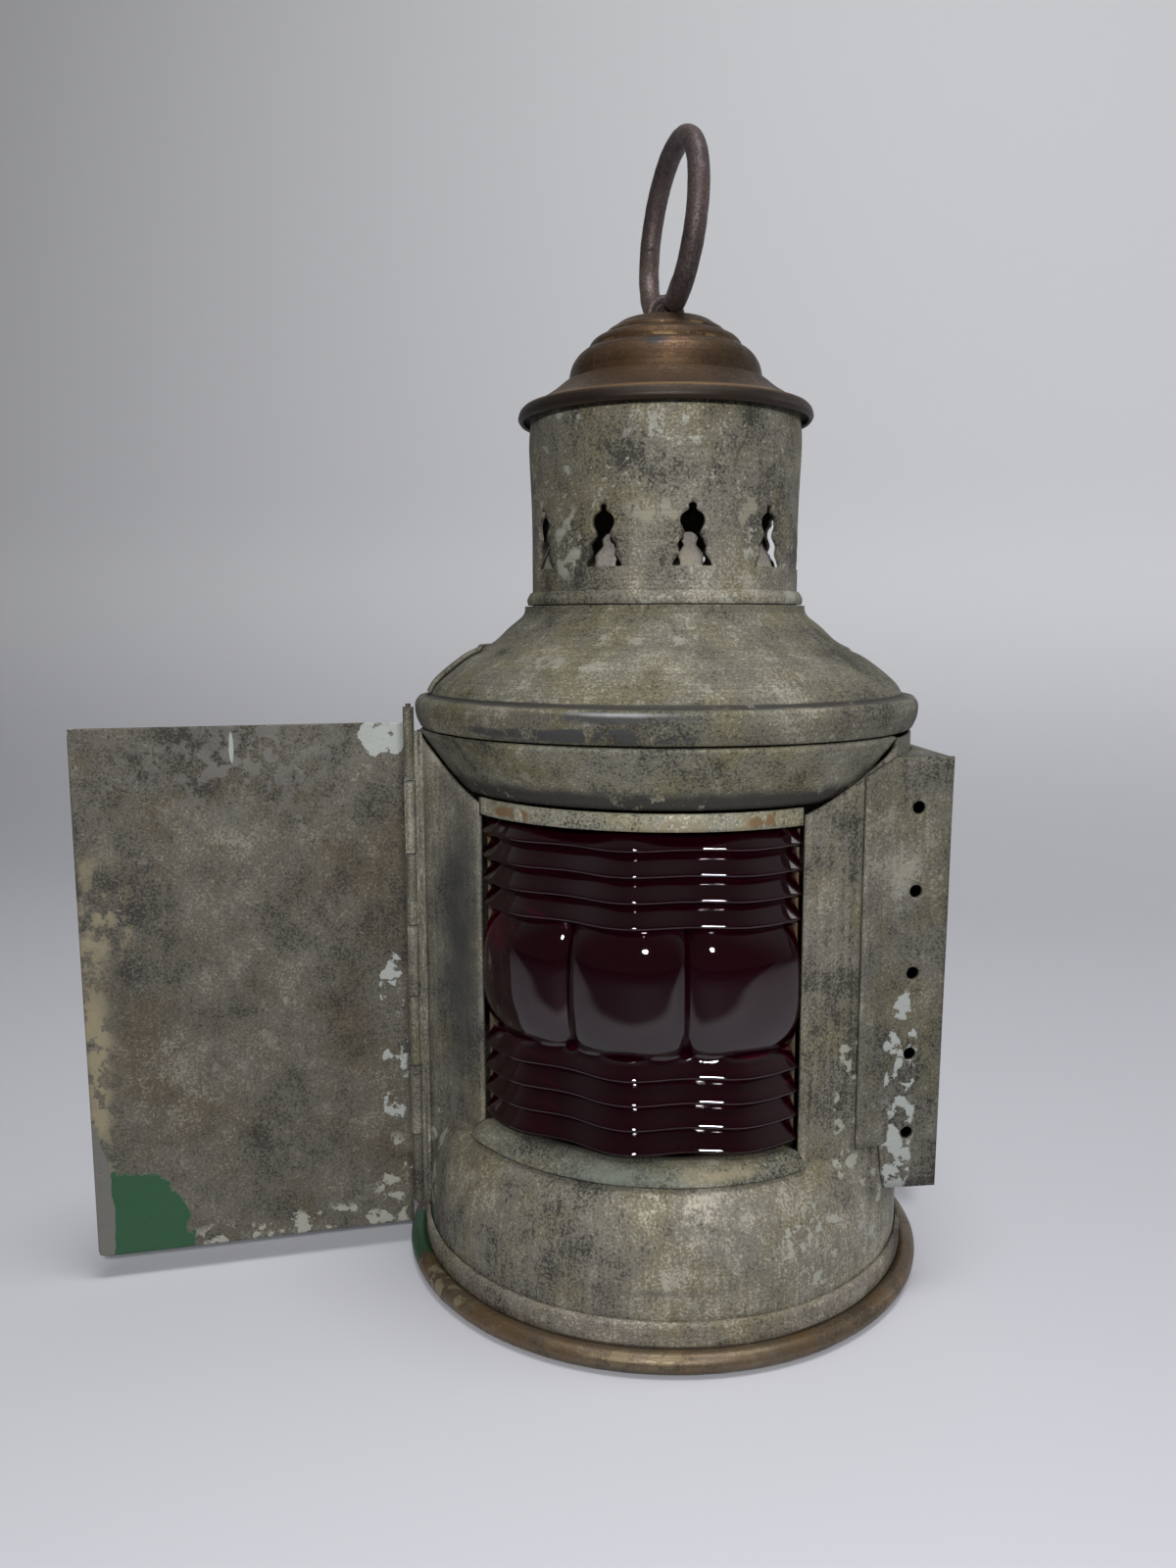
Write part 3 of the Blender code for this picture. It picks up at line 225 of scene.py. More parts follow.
def turned(name, profile, replaced=(), steps=120):
    """A thick ring: a closed profile, down its outer side and up its inner side, turned round."""
    build = bmesh.new()
    weave(build, turned_columns(profile, steps), round_columns=True, round_rows=True)
    return new_piece(name, build, "lantern", replaced)


print("sheet makers ready: sheet, turned, sheets are", SHEET, "mm thick")

# %% [markdown]
# ## Holes
# Vents and air holes were punched through the finished sheet. A Boolean does the same with closed
# tool meshes. All tools for one sheet are joined into one object, so a sheet needs one Boolean.

# %% Tools for holes
def axes(x, y, z):
    """A turn that lays X, Y and Z along three directions."""
    return Matrix((x, y, z)).transposed().to_4x4()


def cut(item, tools, name):
    """Cut several closed meshes out of a piece."""
    build = bmesh.new()
    for tool in tools:
        build.from_mesh(tool)
    punch = added(name, mesh_from(build, name))
    punch.hide_render = True
    punch.hide_viewport = True
    step = item.modifiers.new("Cut", "BOOLEAN")
    step.operation = "DIFFERENCE"
    step.solver = "EXACT"
    step.object = punch


def prism(outline, depth, placing):
    """A closed mesh: a flat outline of (x, y) millimetres pushed both ways along Z, then placed."""
    build = bmesh.new()
    lower = [build.verts.new(placing @ Vector((x * MM, y * MM, -depth * MM / 2))) for x, y in outline]
    upper = [build.verts.new(placing @ Vector((x * MM, y * MM, depth * MM / 2))) for x, y in outline]
    build.faces.new(lower[::-1])
    build.faces.new(upper)
    for corner in range(len(outline)):
        following = (corner + 1) % len(outline)
        build.faces.new((lower[corner], lower[following], upper[following], upper[corner]))
    return mesh_from(build, "tool")


print("tools ready: cut, prism")

# %% [markdown]
# ## The body
# The body is one sheet: round at the back, with two flat cheeks that run in to the sides of the
# lens, and a skirt that rounds in under it. Each upright line of the sheet is a column whose radius
# comes from the cheek or from the skirt, whichever lies further out, so the round corner between
# skirt and cheek comes by itself. A cylinder cut by planes would be simpler, but its corners would
# be too sharp for bent sheet.

# %% Body shell
GAP = 0.3
BODY_RADIUS = 56.0
BODY_TOP = 124.2
FOOT = 3.7
CHEEK_FRONT = polar(47.0, 48.3, 0.0)
CHEEK_BACK = polar(BODY_RADIUS, 69.5, 0.0)
SKIRT_STRAIGHT = 15.0
LIP_HEIGHT = 34.6
LIP_RADIUS = 47.8
VISOR = ((56.4, 124.5), (47.4, 111.8))


def skirt_radius(height):
    """Upright low down, then rounding in to the lip under the lens."""
    share = min(1.0, max(0.0, (height - SKIRT_STRAIGHT) / (LIP_HEIGHT - SKIRT_STRAIGHT)))
    return LIP_RADIUS + (BODY_RADIUS - LIP_RADIUS) * math.sqrt(1.0 - share * share)


def cheek_top(radius):
    """A cheek ends where its inner face would meet the visor."""
    (head_r, head_z), (foot_r, foot_z) = VISOR
    return foot_z + (radius - SHEET * 1.3 - GAP - foot_r) * (head_z - foot_z) / (head_r - foot_r)


def azimuth_of(point):
    """The azimuth of a point, in degrees."""
    return math.degrees(math.atan2(point.x, -point.y))


def body_column(azimuth, wall_radius, top):
    """One upright line, from the top down. With no top it ends at the lip."""
    rounding = [math.sin(math.radians(angle)) for angle in between(0.0, 90.0, 14)]
    heights = between(FOOT, SKIRT_STRAIGHT, 4)[:-1]
    heights += [SKIRT_STRAIGHT + (LIP_HEIGHT - SKIRT_STRAIGHT) * share for share in rounding]
    column = [polar(max(wall_radius, skirt_radius(z)), azimuth, z) for z in heights]
    if top is not None:
        column += [polar(wall_radius, azimuth, z) for z in between(LIP_HEIGHT, top, 26)[1:]]
    return [worked(point) for point in reversed(column)]


def body_columns():
    """Upright lines round the body: skirt, right cheek, round back, left cheek."""
    front = azimuth_of(CHEEK_FRONT)
    back = azimuth_of(CHEEK_BACK)
    cheek = [CHEEK_FRONT.lerp(CHEEK_BACK, share) for share in between(0.0, 1.0, 14)]
    right = [(azimuth_of(spot), spot.length / MM) for spot in cheek]
    columns = [body_column(a, 0.0, None) for a in between(-front, front, 44)[1:-1]]
    columns += [body_column(a, r, cheek_top(r)) for a, r in right]
    columns += [body_column(a, BODY_RADIUS, BODY_TOP) for a in between(back, 360.0 - back, 80)[1:-1]]
    columns += [body_column(-a, r, cheek_top(r)) for a, r in reversed(right)]
    return columns


body_skin = sheet("body_skin", body_columns(), ["body_shell"], closed=True)
print("body_skin:", len(body_skin.data.polygons), "faces before its thickness")

# %% [markdown]
# The sheet of the body is closed by a lapped and soldered seam up its back. It is a narrow strip
# that stands a little proud, made as a small sheet of its own.

# %% Back seam
SEAM_TOP = BODY_TOP - 0.6
SEAM_FOOT = 10.2
SEAM_START = 176.5
SEAM_SWEEP = 6.0
seam_profile = [(BODY_RADIUS + 0.5, z) for z in between(SEAM_TOP, SEAM_FOOT, 40)]
seam_columns = turned_columns(seam_profile, 6, SEAM_START, SEAM_SWEEP)
back_seam = sheet("back_seam", seam_columns, thickness=0.55)
print("back_seam:", round(SEAM_TOP - SEAM_FOOT, 1), "mm tall")

# %% [markdown]
# ## Base pan
# The base pan is a pressed disc whose edge is rolled into a bead. It has an upright collar with
# three lugs that turn under a keeper ring, so the lamp comes out with it. Its bead is too round for a
# sheet of even thickness, so the pan is turned from a closed profile.

# %% Base pan
RIM_RADIUS = 61.0
RIM_WIRE = 2.3
SHELF = 3.4
COLLAR_RADIUS = 52.0
COLLAR_TOP = 12.5
LUG = (2.4, 8.0, 1.5)
LUG_HEIGHT = 8.65


def base_profile():
    """A closed line: up and down the collar, round the bead, along the underside and back inside."""
    shelf_angle = math.degrees(math.asin((SHELF - RIM_WIRE) / RIM_WIRE))
    rim = arc((RIM_RADIUS - RIM_WIRE, RIM_WIRE), RIM_WIRE, 180.0 - shelf_angle, -90.0, 22)
    collar_in = COLLAR_RADIUS - SHEET
    upright = [(collar_in, COLLAR_TOP), (COLLAR_RADIUS, COLLAR_TOP), (COLLAR_RADIUS, SHELF)]
    disc = [(30.0, 0.0), (0.0, 0.0), (0.0, SHEET), (30.0, SHEET), (collar_in, SHEET)]
    return upright + rim + disc


def base_lugs(build):
    """Three blocks on the collar of the pan, sized out, along and up."""
    size = Matrix.Diagonal([length * MM for length in LUG] + [1.0])
    for azimuth in (0.0, 120.0, 240.0):
        outward = polar(1.0, azimuth, 0.0).normalized()
        turn = axes(outward, UP.cross(outward), UP)
        place = Matrix.Translation(polar(COLLAR_RADIUS + LUG[0] / 3, azimuth, LUG_HEIGHT))
        bmesh.ops.create_cube(build, size=1.0, matrix=place @ turn @ size)


pan_build = bmesh.new()
weave(pan_build, turned_columns(base_profile(), 144), round_columns=True, round_rows=True)
base_lugs(pan_build)
base_bead = new_piece("base_bead", pan_build, "base", ["base_pan"])
print("base bead across:", round(2 * RIM_RADIUS, 1), "mm")

# %% [markdown]
# A hoop stiffens the foot of the body. Its two edges stand a little proud of its middle, as rolling
# leaves them, so it has a closed profile of its own too.

# %% Foot hoop
hoop_foot = 4.0
hoop_top = 9.4
hoop_in = BODY_RADIUS + GAP
hoop_out = hoop_in + 1.0
hoop_profile = [(hoop_in, hoop_top), (hoop_in + 0.45, hoop_top), (hoop_out - 0.1, hoop_top - 0.5)]
hoop_profile += [(hoop_out, hoop_top - 1.2), (hoop_out - 0.15, 6.4), (hoop_out, hoop_foot + 0.7)]
hoop_profile += [(hoop_out - 0.4, hoop_foot), (hoop_in, hoop_foot)]
foot_band = turned("foot_band", hoop_profile, ["foot_hoop"], 144)
print("foot_band:", round(hoop_top - hoop_foot, 1), "mm tall")

# %% [markdown]
# ## The lens
# The ruby lens is pressed glass: rings above and below bend the light level, a plain bulging belt
# lies between them, and three upright lobes wave the whole face. Each ring slopes out to a narrow
# crest and falls back below it. In the belt the lobes are round and meet in sharp grooves; in the
# rings they are soft waves. The front is a grid of radius cut back by ring and lobe; with the plain
# back and the four edges it makes one closed block, which glass needs to bend light rightly.

# %% Lens
LENS = {"radius": 47.0, "inner": 39.5, "low": 38.2, "high": 107.2, "half": 48.2}
LOBE_HALF = 17.0
LOBE_DEPTH = 3.3
LOBE_ROUND = 0.96
WAVE_DEPTH = 2.6
END_SHARE = 0.3
RINGS = 4
RING_PITCH = 5.3
RING_DEPTH = 2.3
RING_SLOPE = [(0.0, 1.0), (0.22, 0.68), (0.44, 0.34), (0.62, 0.07)]
RING_CREST = [(0.69, 0.0), (0.76, 0.07), (0.88, 0.5), (1.0, 1.0)]
BELT_DEPTH = 2.9


def lens_rows():
    """Heights down the face, how far each lies inside the crest, and whether it belongs to a ring."""
    ring_line = flowing(RING_SLOPE + RING_CREST, 2)
    belt_high = LENS["high"] - RINGS * RING_PITCH
    belt_low = LENS["low"] + RINGS * RING_PITCH
    rows = []
    for ring in range(RINGS):
        for share, cut_back in ring_line[:-1]:
            rows.append((LENS["high"] - (ring + share) * RING_PITCH, RING_DEPTH * cut_back, True))
    for share in between(0.0, 1.0, 30):
        bulge = abs(2.0 * share - 1.0) ** 3.0
        rows.append((belt_high + (belt_low - belt_high) * share, BELT_DEPTH * bulge, False))
    for ring in range(RINGS):
        for share, cut_back in ring_line[1:]:
            rows.append((belt_low - (ring + share) * RING_PITCH, RING_DEPTH * cut_back, True))
    return rows


def lobe_cut(azimuth, in_ring):
    """How far a lobe falls back from its crest at an azimuth. The outer ends fall back less."""
    off = ((azimuth + LOBE_HALF) % (2.0 * LOBE_HALF)) / LOBE_HALF - 1.0
    share = END_SHARE if abs(azimuth) > 2.0 * LOBE_HALF else 1.0
    if in_ring:
        return WAVE_DEPTH * share * math.sin(off * math.pi / 2) ** 2
    full_fall = 1.0 - math.sqrt(1.0 - LOBE_ROUND)
    return LOBE_DEPTH * share * (1.0 - math.sqrt(1.0 - LOBE_ROUND * off * off)) / full_fall


def make_lens():
    """The face with its rings and lobes, the plain back and the four edges, as one closed block."""
    build = bmesh.new()
    rows = lens_rows()
    azimuths = between(-LENS["half"], -LOBE_HALF, 22)[:-1]
    azimuths += between(-LOBE_HALF, LOBE_HALF, 26)
    azimuths += between(LOBE_HALF, LENS["half"], 22)[1:]
    columns = []
    for azimuth in azimuths:
        column = []
        for z, inset, in_ring in rows:
            column.append(polar(LENS["radius"] - lobe_cut(azimuth, in_ring) - inset, azimuth, z))
        column += [polar(LENS["inner"], azimuth, z) for z in (LENS["low"], LENS["high"])]
        columns.append(column)
    grid = weave(build, columns, round_rows=True)
    build.faces.new(grid[0][::-1])
    build.faces.new(grid[-1])
    bmesh.ops.recalc_face_normals(build, faces=build.faces)
    return new_piece("ruby_lens", build, "lantern", ["lens"], sharp=48.0)


ruby_lens = make_lens()
print("ruby_lens:", len(ruby_lens.data.polygons), "faces")

# %% [markdown]
# A narrow brass strip stands against each end of the lens. One function makes both; on the right the
# columns run the other way, so that both sheets face away from the glass.

# %% Strips beside the lens
STRIP_RADII = (40.0, 45.0)


def side_strip(end, side):
    """A narrow brass strip that holds one end of the lens."""
    node = "lens_strip_" + end
    azimuth = side * (LENS["half"] + 0.6)
    heights = between(LENS["high"], LENS["low"], 12)
    radii = between(*STRIP_RADII, 4)
    if side > 0:
        radii.reverse()
    columns = [[polar(r, azimuth, z) for z in heights] for r in radii]
    return sheet("strip_" + end, columns, [node], thickness=0.4)


strips = [side_strip("left", -1.0), side_strip("right", 1.0)]
print("strips:", [strip.name for strip in strips])

# %% [markdown]
# ## Sill, top band and visor
# A sloping sill carries the lens, a thin band closes its top, and above it an inverted cone, the
# visor, throws the rain clear. All three are sheets turned part of the way round. Full rings cut by
# a Boolean would do too, but would need tools that fit every end.

# %% Round the lens
SILL_HALF = 46.8
VISOR_HALF = 68.8
SOLDER_FROM = 48.0
SOLDER_REACH = 2.6


def part_turned(name, profile, half, node, steps, shape=worked):
    """A sheet turned half its sweep to each side of the middle of the lens."""
    return sheet(name, turned_columns(profile, steps, -half, 2.0 * half, shape), [node])


def soldered(point):
    """The free edge of the sill runs unevenly, where solder drew it to the skirt."""
    reach = max(0.0, math.hypot(point.x, point.y) / MM - SOLDER_FROM) / SOLDER_REACH
    uneven = noise.noise(point * 90.0) + 0.6 * noise.noise(point * 260.0)
    return worked(point) + polar(0.5 * reach * uneven, azimuth_of(point), 0.35 * reach * uneven)


shelf = LENS["low"] - GAP
sill_edge = flowing([(47.5, shelf), (48.7, shelf - 0.5), (49.9, 36.4), (50.6, 34.9)], 4)
sill_profile = [(41.5, shelf), (44.5, shelf)] + sill_edge
sill_piece = part_turned("sill_piece", sill_profile, SILL_HALF, "lens_sill", 90, shape=soldered)
band_foot = LENS["high"] + GAP
band_profile = [(47.5, z) for z in between(band_foot + 3.6, band_foot, 4)]
top_band = part_turned("top_band", band_profile, SILL_HALF, "lens_top_band", 48)
visor_profile = [tuple(a + (b - a) * share for a, b in zip(*VISOR)) for share in between(0.0, 1.0, 14)]
visor_piece = part_turned("visor_piece", visor_profile, VISOR_HALF, "front_visor", 84)
print("visor_piece:", len(visor_piece.data.polygons), "faces")

# %% [markdown]
# ## Hood
# The hood is spun from one sheet: a neck, a soft step, a full shoulder and a bead at the edge that
# grips the body. Its profile goes through a few measured points; a smooth line through them gives
# the spun look. On one shoulder a lapped plate mends it.

# %% Hood and patch
NECK = (32.0, 152.0)
BEAD_RADIUS = 57.4
BEAD_HEIGHT = 6.8
NECK_SHARES = [(0.0, 0.0), (0.02, 0.1), (0.145, 0.235), (0.275, 0.39), (0.395, 0.475)]
SHOULDER_SHARES = [(0.42, 0.51), (0.525, 0.575), (0.685, 0.725), (0.81, 0.87), (0.865, 0.985)]
BEAD_SHARES = [(0.965, 0.02), (1.0, 0.24), (0.995, 0.6), (0.965, 0.9), (0.945, 1.0)]
bead_top = VISOR[0][1] + SHEET * 0.6 + GAP + BEAD_HEIGHT


def hood_point(across, down):
    """A point of the shoulder: shares of the way out and down from the neck to the bead."""
    return NECK[0] + (BEAD_RADIUS - NECK[0]) * across, NECK[1] - (NECK[1] - bead_top) * down


upper = [hood_point(across, down) for across, down in NECK_SHARES]
lower = [hood_point(across, down) for across, down in SHOULDER_SHARES]
bead = [(hood_point(across, 0.0)[0], bead_top - BEAD_HEIGHT * down) for across, down in BEAD_SHARES]
hood_line = flowing(upper, 5) + flowing(lower, 5) + flowing(bead, 5)
hood_skin = sheet("hood_skin", turned_columns(hood_line, 160), ["hood"], closed=True)

MEND_START = -122.0
MEND_SWEEP = 58.0
mend_line = flowing([(r + 0.66, z + 0.88) for r, z in [upper[-1]] + lower], 4)
mend_columns = turned_columns(mend_line, 30, MEND_START, MEND_SWEEP)
mended = sheet("mended_plate", mend_columns, ["hood_patch"])
print("hood_skin:", len(hood_skin.data.polygons), "faces")

# %% [markdown]
# ## Chimney
# The chimney is a plain drum with a row of spade-shaped vents. They are cut with a Boolean, because
# a hole in a grid would need the grid to follow its outline.

# %% Chimney and vents
CHIMNEY_RADIUS = 30.2
CHIMNEY_LOW = 149.6
CHIMNEY_HIGH = 194.2
VENTS = 10
FIRST_VENT = 20.9
VENT_FOOT = 160.0
VENT_HEIGHT = 12.8
VENT_HALF = 4.1
vent_azimuths = [FIRST_VENT + 360.0 * vent / VENTS for vent in range(VENTS)]


def vent_outline():
    """A wide foot, two round lobes with waists between them and a small finial on top."""
    foot = [(0.5, 0.0), (0.98, 0.0), (0.96, 0.06), (0.68, 0.2), (0.74, 0.35), (0.4, 0.5)]
    head = [(0.63, 0.68), (0.55, 0.8), (0.22, 0.88), (0.2, 0.96), (0.0, 1.0)]
    right = flowing([(VENT_HALF * x, VENT_HEIGHT * y) for x, y in foot + head], 4)
    return right + [(-x, y) for x, y in reversed(right[:-1])]


def vent_placing(azimuth, radius, height, lean):
    """X across, Y up and Z out at a place on the drum, leaning in by an angle."""
    outward = polar(1.0, azimuth, 0.0).normalized()
    facing = axes(UP.cross(outward), UP, outward)
    lean_in = Matrix.Rotation(math.radians(-lean), 4, "X")
    return Matrix.Translation(polar(radius, azimuth, height)) @ facing @ lean_in


drum_bulge = [(0.0, CHIMNEY_HIGH), (0.5, 188.2), (0.25, 180.0)]
drum_bulge += [(0.0, 172.0), (0.0, 160.0), (0.0, CHIMNEY_LOW)]
drum_line = flowing([(CHIMNEY_RADIUS + out, z) for out, z in drum_bulge], 5)
drum = sheet("chimney_drum", turned_columns(drum_line, 140), ["chimney"], closed=True)
vent_tools = []
for azimuth in vent_azimuths:
    vent_tools.append(prism(vent_outline(), 7.0, vent_placing(azimuth, CHIMNEY_RADIUS, VENT_FOOT, 0.0)))
cut(drum, vent_tools, "vent_punch")
print("chimney vents:", VENTS)

# %% [markdown]
# Each vent was cut with a punch, and the tongue it left was bent inwards. The tongues are small
# strips with curled tips, joined into one piece. Bending faces of the drum itself would again need a
# grid that follows each outline.

# %% Tongues
TONGUE_TALL = 8.0
TONGUE_LEAN = 15.0
TONGUE_CURL = 1.3
TONGUE_HEAD = [(0.2, 1.0), (1.1, 0.97), (1.8, 0.83), (1.3, 0.66)]
TONGUE_FOOT = [(1.5, 0.57), (2.6, 0.36), (2.3, 0.16), (2.5, 0.0)]


def make_tongues():
    """Each tongue is a strip of changing width that curls in a little more towards its tip."""
    build = bmesh.new()
    for azimuth in vent_azimuths:
        placing = vent_placing(azimuth, CHIMNEY_RADIUS - SHEET, VENT_FOOT - 0.4, TONGUE_LEAN)
        columns = []
        for side in between(-1.0, 1.0, 6):
            column = []
            for half, share in flowing(TONGUE_HEAD + TONGUE_FOOT, 4):
                spot = Vector((side * half, share * TONGUE_TALL, -TONGUE_CURL * share * share))
                column.append(placing @ (spot * MM))
            columns.append(column)
        weave(build, columns)
    item = new_piece("vent_tongues", build, "lantern")
    thicken(item, 0.45)
    return item


tongues = make_tongues()
print("vent_tongues:", len(tongues.data.polygons), "faces")

# %% [markdown]
# A small bead hides the joint between chimney and hood. It is thick and round, so it is turned from a
# closed profile.

# %% Chimney bead
collar_in = CHIMNEY_RADIUS + GAP
collar_bulge = [(0.0, 155.1), (0.4, 154.7), (1.0, 153.5), (0.8, 152.3)]
collar_line = flowing([(collar_in + out, z) for out, z in collar_bulge], 4) + [(collar_in, 152.3)]
collar = turned("chimney_bead", collar_line, ["chimney_collar"])
print("chimney_bead:", len(collar.data.polygons), "faces")

# %% [markdown]
# ## Cap
# The cap is spun brass in three tiers with a rolled rim and a shallow dish on top, where the eye of
# the carrying ring stands. Each tier has its own smooth line through measured points. One line
# through all of them would round off the crisp steps between the tiers.

# %% Cap
CAP_TOP = 215.0
CAP_RIM = 192.5
CAP_RADIUS = 33.1
DISH = 1.6
crown = [(0.0, DISH), (5.0, DISH), (6.2, DISH), (7.2, 0.5), (8.6, 0.0)]
crown += [(10.3, 0.5), (11.6, 1.4), (12.8, 2.1), (13.5, 2.8)]
crown_line = [(r, CAP_TOP - drop) for r, drop in crown]
tier_shares = [
    [(0.411, 0.155), (0.436, 0.156), (0.48, 0.185), (0.51, 0.23), (0.52, 0.275)],
    [(0.522, 0.298), (0.552, 0.302), (0.6, 0.362), (0.638, 0.455), (0.655, 0.56)],
    [(0.66, 0.598), (0.692, 0.612), (0.738, 0.668), (0.79, 0.725), (0.875, 0.8), (0.95, 0.848)],
    [(0.968, 0.854), (0.988, 0.885), (1.0, 0.93), (1.0, 0.965), (0.983, 1.0)],
]
tiers = [[(CAP_RADIUS * r, CAP_TOP - (CAP_TOP - CAP_RIM) * z) for r, z in tier] for tier in tier_shares]
cap_line = flowing(crown_line, 3) + [point for tier in tiers for point in flowing(tier, 3)]
spun_cap = sheet("spun_cap", turned_columns(cap_line, 128), ["cap"], closed=True)
print("spun_cap:", len(cap_line), "points in its profile")

# %% [markdown]
# ## Carrying ring
# The ring is a bar bent round and lapped: one end lies along the other near the foot, and both were
# cut with a chisel. It is a tube swept along a circle that is a little over a full turn, drawn
# aside where the ends pass, and thinned to a wedge at each end. Forging left it uneven. A curve with
# a bevel would be shorter, but it could not be thinned in one direction only.

# %% Carrying ring
RING_RADIUS = 18.4
RING_WIRE = 2.4
RING_FOOT = Vector((0.0, 0.0, 216.4)) * MM
RING_AZIMUTH = 26.1
RING_LEAN = -4.4
RING_START = -52.0
RING_END = 340.0
LAP_LOW = 46.0
LAP_HIGH = 40.0


def ring_placing():
    """X along the ring, Y through it and Z up, at its foot and with its lean."""
    along = polar(1.0, RING_AZIMUTH, 0.0).normalized()
    facing = axes(along, UP.cross(along), UP)
    return Matrix.Translation(RING_FOOT) @ facing @ Matrix.Rotation(math.radians(RING_LEAN), 4, "X")


def make_ring():
    """Angles run from the foot, up the far side, over the top and down the near side."""
    sides = 20
    placing = ring_placing()
    build = bmesh.new()
    columns = []
    for angle in between(RING_START, RING_END, 150):
        turn = math.radians(angle)
        outward = Vector((-math.sin(turn), 0.0, -math.cos(turn)))
        lap_low = max(0.0, 1.0 - (angle - RING_START) / LAP_LOW)
        lap_high = max(0.0, 1.0 - (RING_END - angle) / LAP_HIGH)
        inset = 2.1 * min(1.0, lap_low * 1.8) ** 1.5 - 0.25 * lap_high
        middle = Vector((0.0, 0.0, RING_RADIUS)) + outward * (RING_RADIUS - inset)
        wide = RING_WIRE * (1.0 - 0.35 * lap_low)
        drawn_low = 1.0 - 0.62 * min(1.0, lap_low * 1.25)
        drawn_high = 1.0 - 0.45 * max(0.0, lap_high - 0.55)
        thick = RING_WIRE * drawn_low * drawn_high
        column = []
        for side in range(sides):
            around = math.radians(360.0 * side / sides)
            rough = 1.0 + 0.035 * noise.noise(Vector((angle * 0.11, side * 0.5, 2.0))) - 0.02
            reach = outward * math.cos(around) * thick + Vector((0, 1, 0)) * math.sin(around) * wide
            column.append(placing @ ((middle + reach * rough) * MM))
        columns.append(column)
    grid = weave(build, columns, round_rows=True)
    build.faces.new(grid[0])
    build.faces.new(grid[-1][::-1])
    bmesh.ops.recalc_face_normals(build, faces=build.faces)
    return new_piece("forged_ring", build, "ring", ["carrying_ring"])


forged_ring = make_ring()
print("forged_ring:", round(2 * (RING_RADIUS + RING_WIRE), 1), "mm across")

# %% [markdown]
# ## Draught face
# Air for the flame enters through a narrow face on the right, with a wedge-shaped box behind it. The
# face is one sheet bent away from the cheek. The bend is slight, so smooth shading is
# enough to roll the light over it as bent metal does.

# %% Draught face
FACE = {"bend": 14.0, "wide": 12.5, "taper": 0.8, "low": 25.8, "high": 120.5, "leg": 0.65, "heel": 0.93}


def right_of(direction):
    """The level direction to the right of a direction, seen from above."""
    return Vector((direction.y, -direction.x, 0.0)).normalized()


cheek_along = (CHEEK_BACK - CHEEK_FRONT).normalized()
cheek_out = right_of(cheek_along)
face_along = Matrix.Rotation(math.radians(-FACE["bend"]), 3, "Z") @ cheek_along
face_out = right_of(face_along)
face_corner = CHEEK_BACK + cheek_out * GAP * MM + (cheek_out + face_out).normalized() * SHEET * MM
face_edge = CHEEK_BACK + cheek_out * GAP * MM + face_along * FACE["wide"] * MM + face_out * SHEET * MM


def face_columns():
    """Columns over plan points that run from the leg on the cheek to the free edge."""
    shift = cheek_out * (GAP + SHEET) * MM
    leg = CHEEK_FRONT.lerp(CHEEK_BACK, FACE["leg"]) + shift
    heel = CHEEK_FRONT.lerp(CHEEK_BACK, FACE["heel"]) + shift
    leg_top = cheek_top(leg.length / MM) - 4 * GAP
    heel_top = leg_top + (FACE["high"] - leg_top) * (FACE["heel"] - FACE["leg"]) / (1.0 - FACE["leg"])
    leg_low = LIP_HEIGHT + 4 * GAP
    plan = []
    for share in between(0.0, 1.0, 4):
        plan.append((leg.lerp(heel, share), leg_top + (heel_top - leg_top) * share, leg_low))
    for share in between(0.0, 1.0, 4)[1:]:
        top = heel_top + (FACE["high"] - heel_top) * share
        low = leg_low + (FACE["low"] - leg_low) * share
        plan.append((heel.lerp(face_corner, share), top, low))
    for share in between(0.0, 1.0, 12)[1:]:
        plan.append((face_corner.lerp(face_edge, share), FACE["high"], FACE["low"]))
    columns = []
    for spot, top, low in plan:
        reach = max(0.0, (spot - face_corner).dot(face_along)) / (FACE["wide"] * MM)
        column = []
        for share in between(0.0, 1.0, 40):
            wave = 0.18 * reach * noise.noise(Vector((share * 4.0, reach, 7.0)))
            point = spot - face_along * FACE["taper"] * MM * share * reach + face_out * wave * MM
            column.append(Vector((point.x, point.y, (top + (low - top) * share) * MM)))
        columns.append(column)
    return columns


pierced_face = sheet("pierced_face", face_columns(), ["draught_face"])
print("pierced_face:", len(pierced_face.data.polygons), "faces before its thickness")

# %% [markdown]
# Five round holes let the air in. They stand in a row a constant share of the way across the face,
# which narrows towards its foot. Like the vents they are cut with a Boolean.

# %% Air holes
FACE_HOLES = 5
HOLE_PITCH = 17.9
HOLE_SHARE = 0.41
HOLE_RADIUS = 1.4
HOLE_RISE = 0.9


def hole_tools():
    """Round drills in a row down the face."""
    tools = []
    circle = arc((0.0, 0.0), HOLE_RADIUS, 0.0, 345.0, 23)
    middle = (FACE["high"] + FACE["low"]) / 2 + HOLE_RISE
    facing = axes(UP.cross(face_out), UP, face_out)
    for hole in range(FACE_HOLES):
        height = middle + (hole - (FACE_HOLES - 1) / 2) * HOLE_PITCH
        narrowing = FACE["taper"] * (FACE["high"] - height) / (FACE["high"] - FACE["low"])
        spot = face_corner.lerp(face_edge - face_along * narrowing * MM, HOLE_SHARE)
        tools.append(prism(circle, 5.0, Matrix.Translation((spot.x, spot.y, height * MM)) @ facing))
    return tools


cut(pierced_face, hole_tools(), "face_drill")
print("pierced_face holes:", FACE_HOLES)

# %% [markdown]
# ## Hinge
# The screen hangs on a pin that stands off the left side of the body. Old solder fills the corner
# between the leaf and the pin. It stays on the lantern, so its hollow side clears the knuckles that
# turn there.

# %% Solder at the hinge
HINGE = polar(59.0, -69.7, 0.0)
HINGE_SPAN = (10.4, 129.6)
KNUCKLE = 1.25


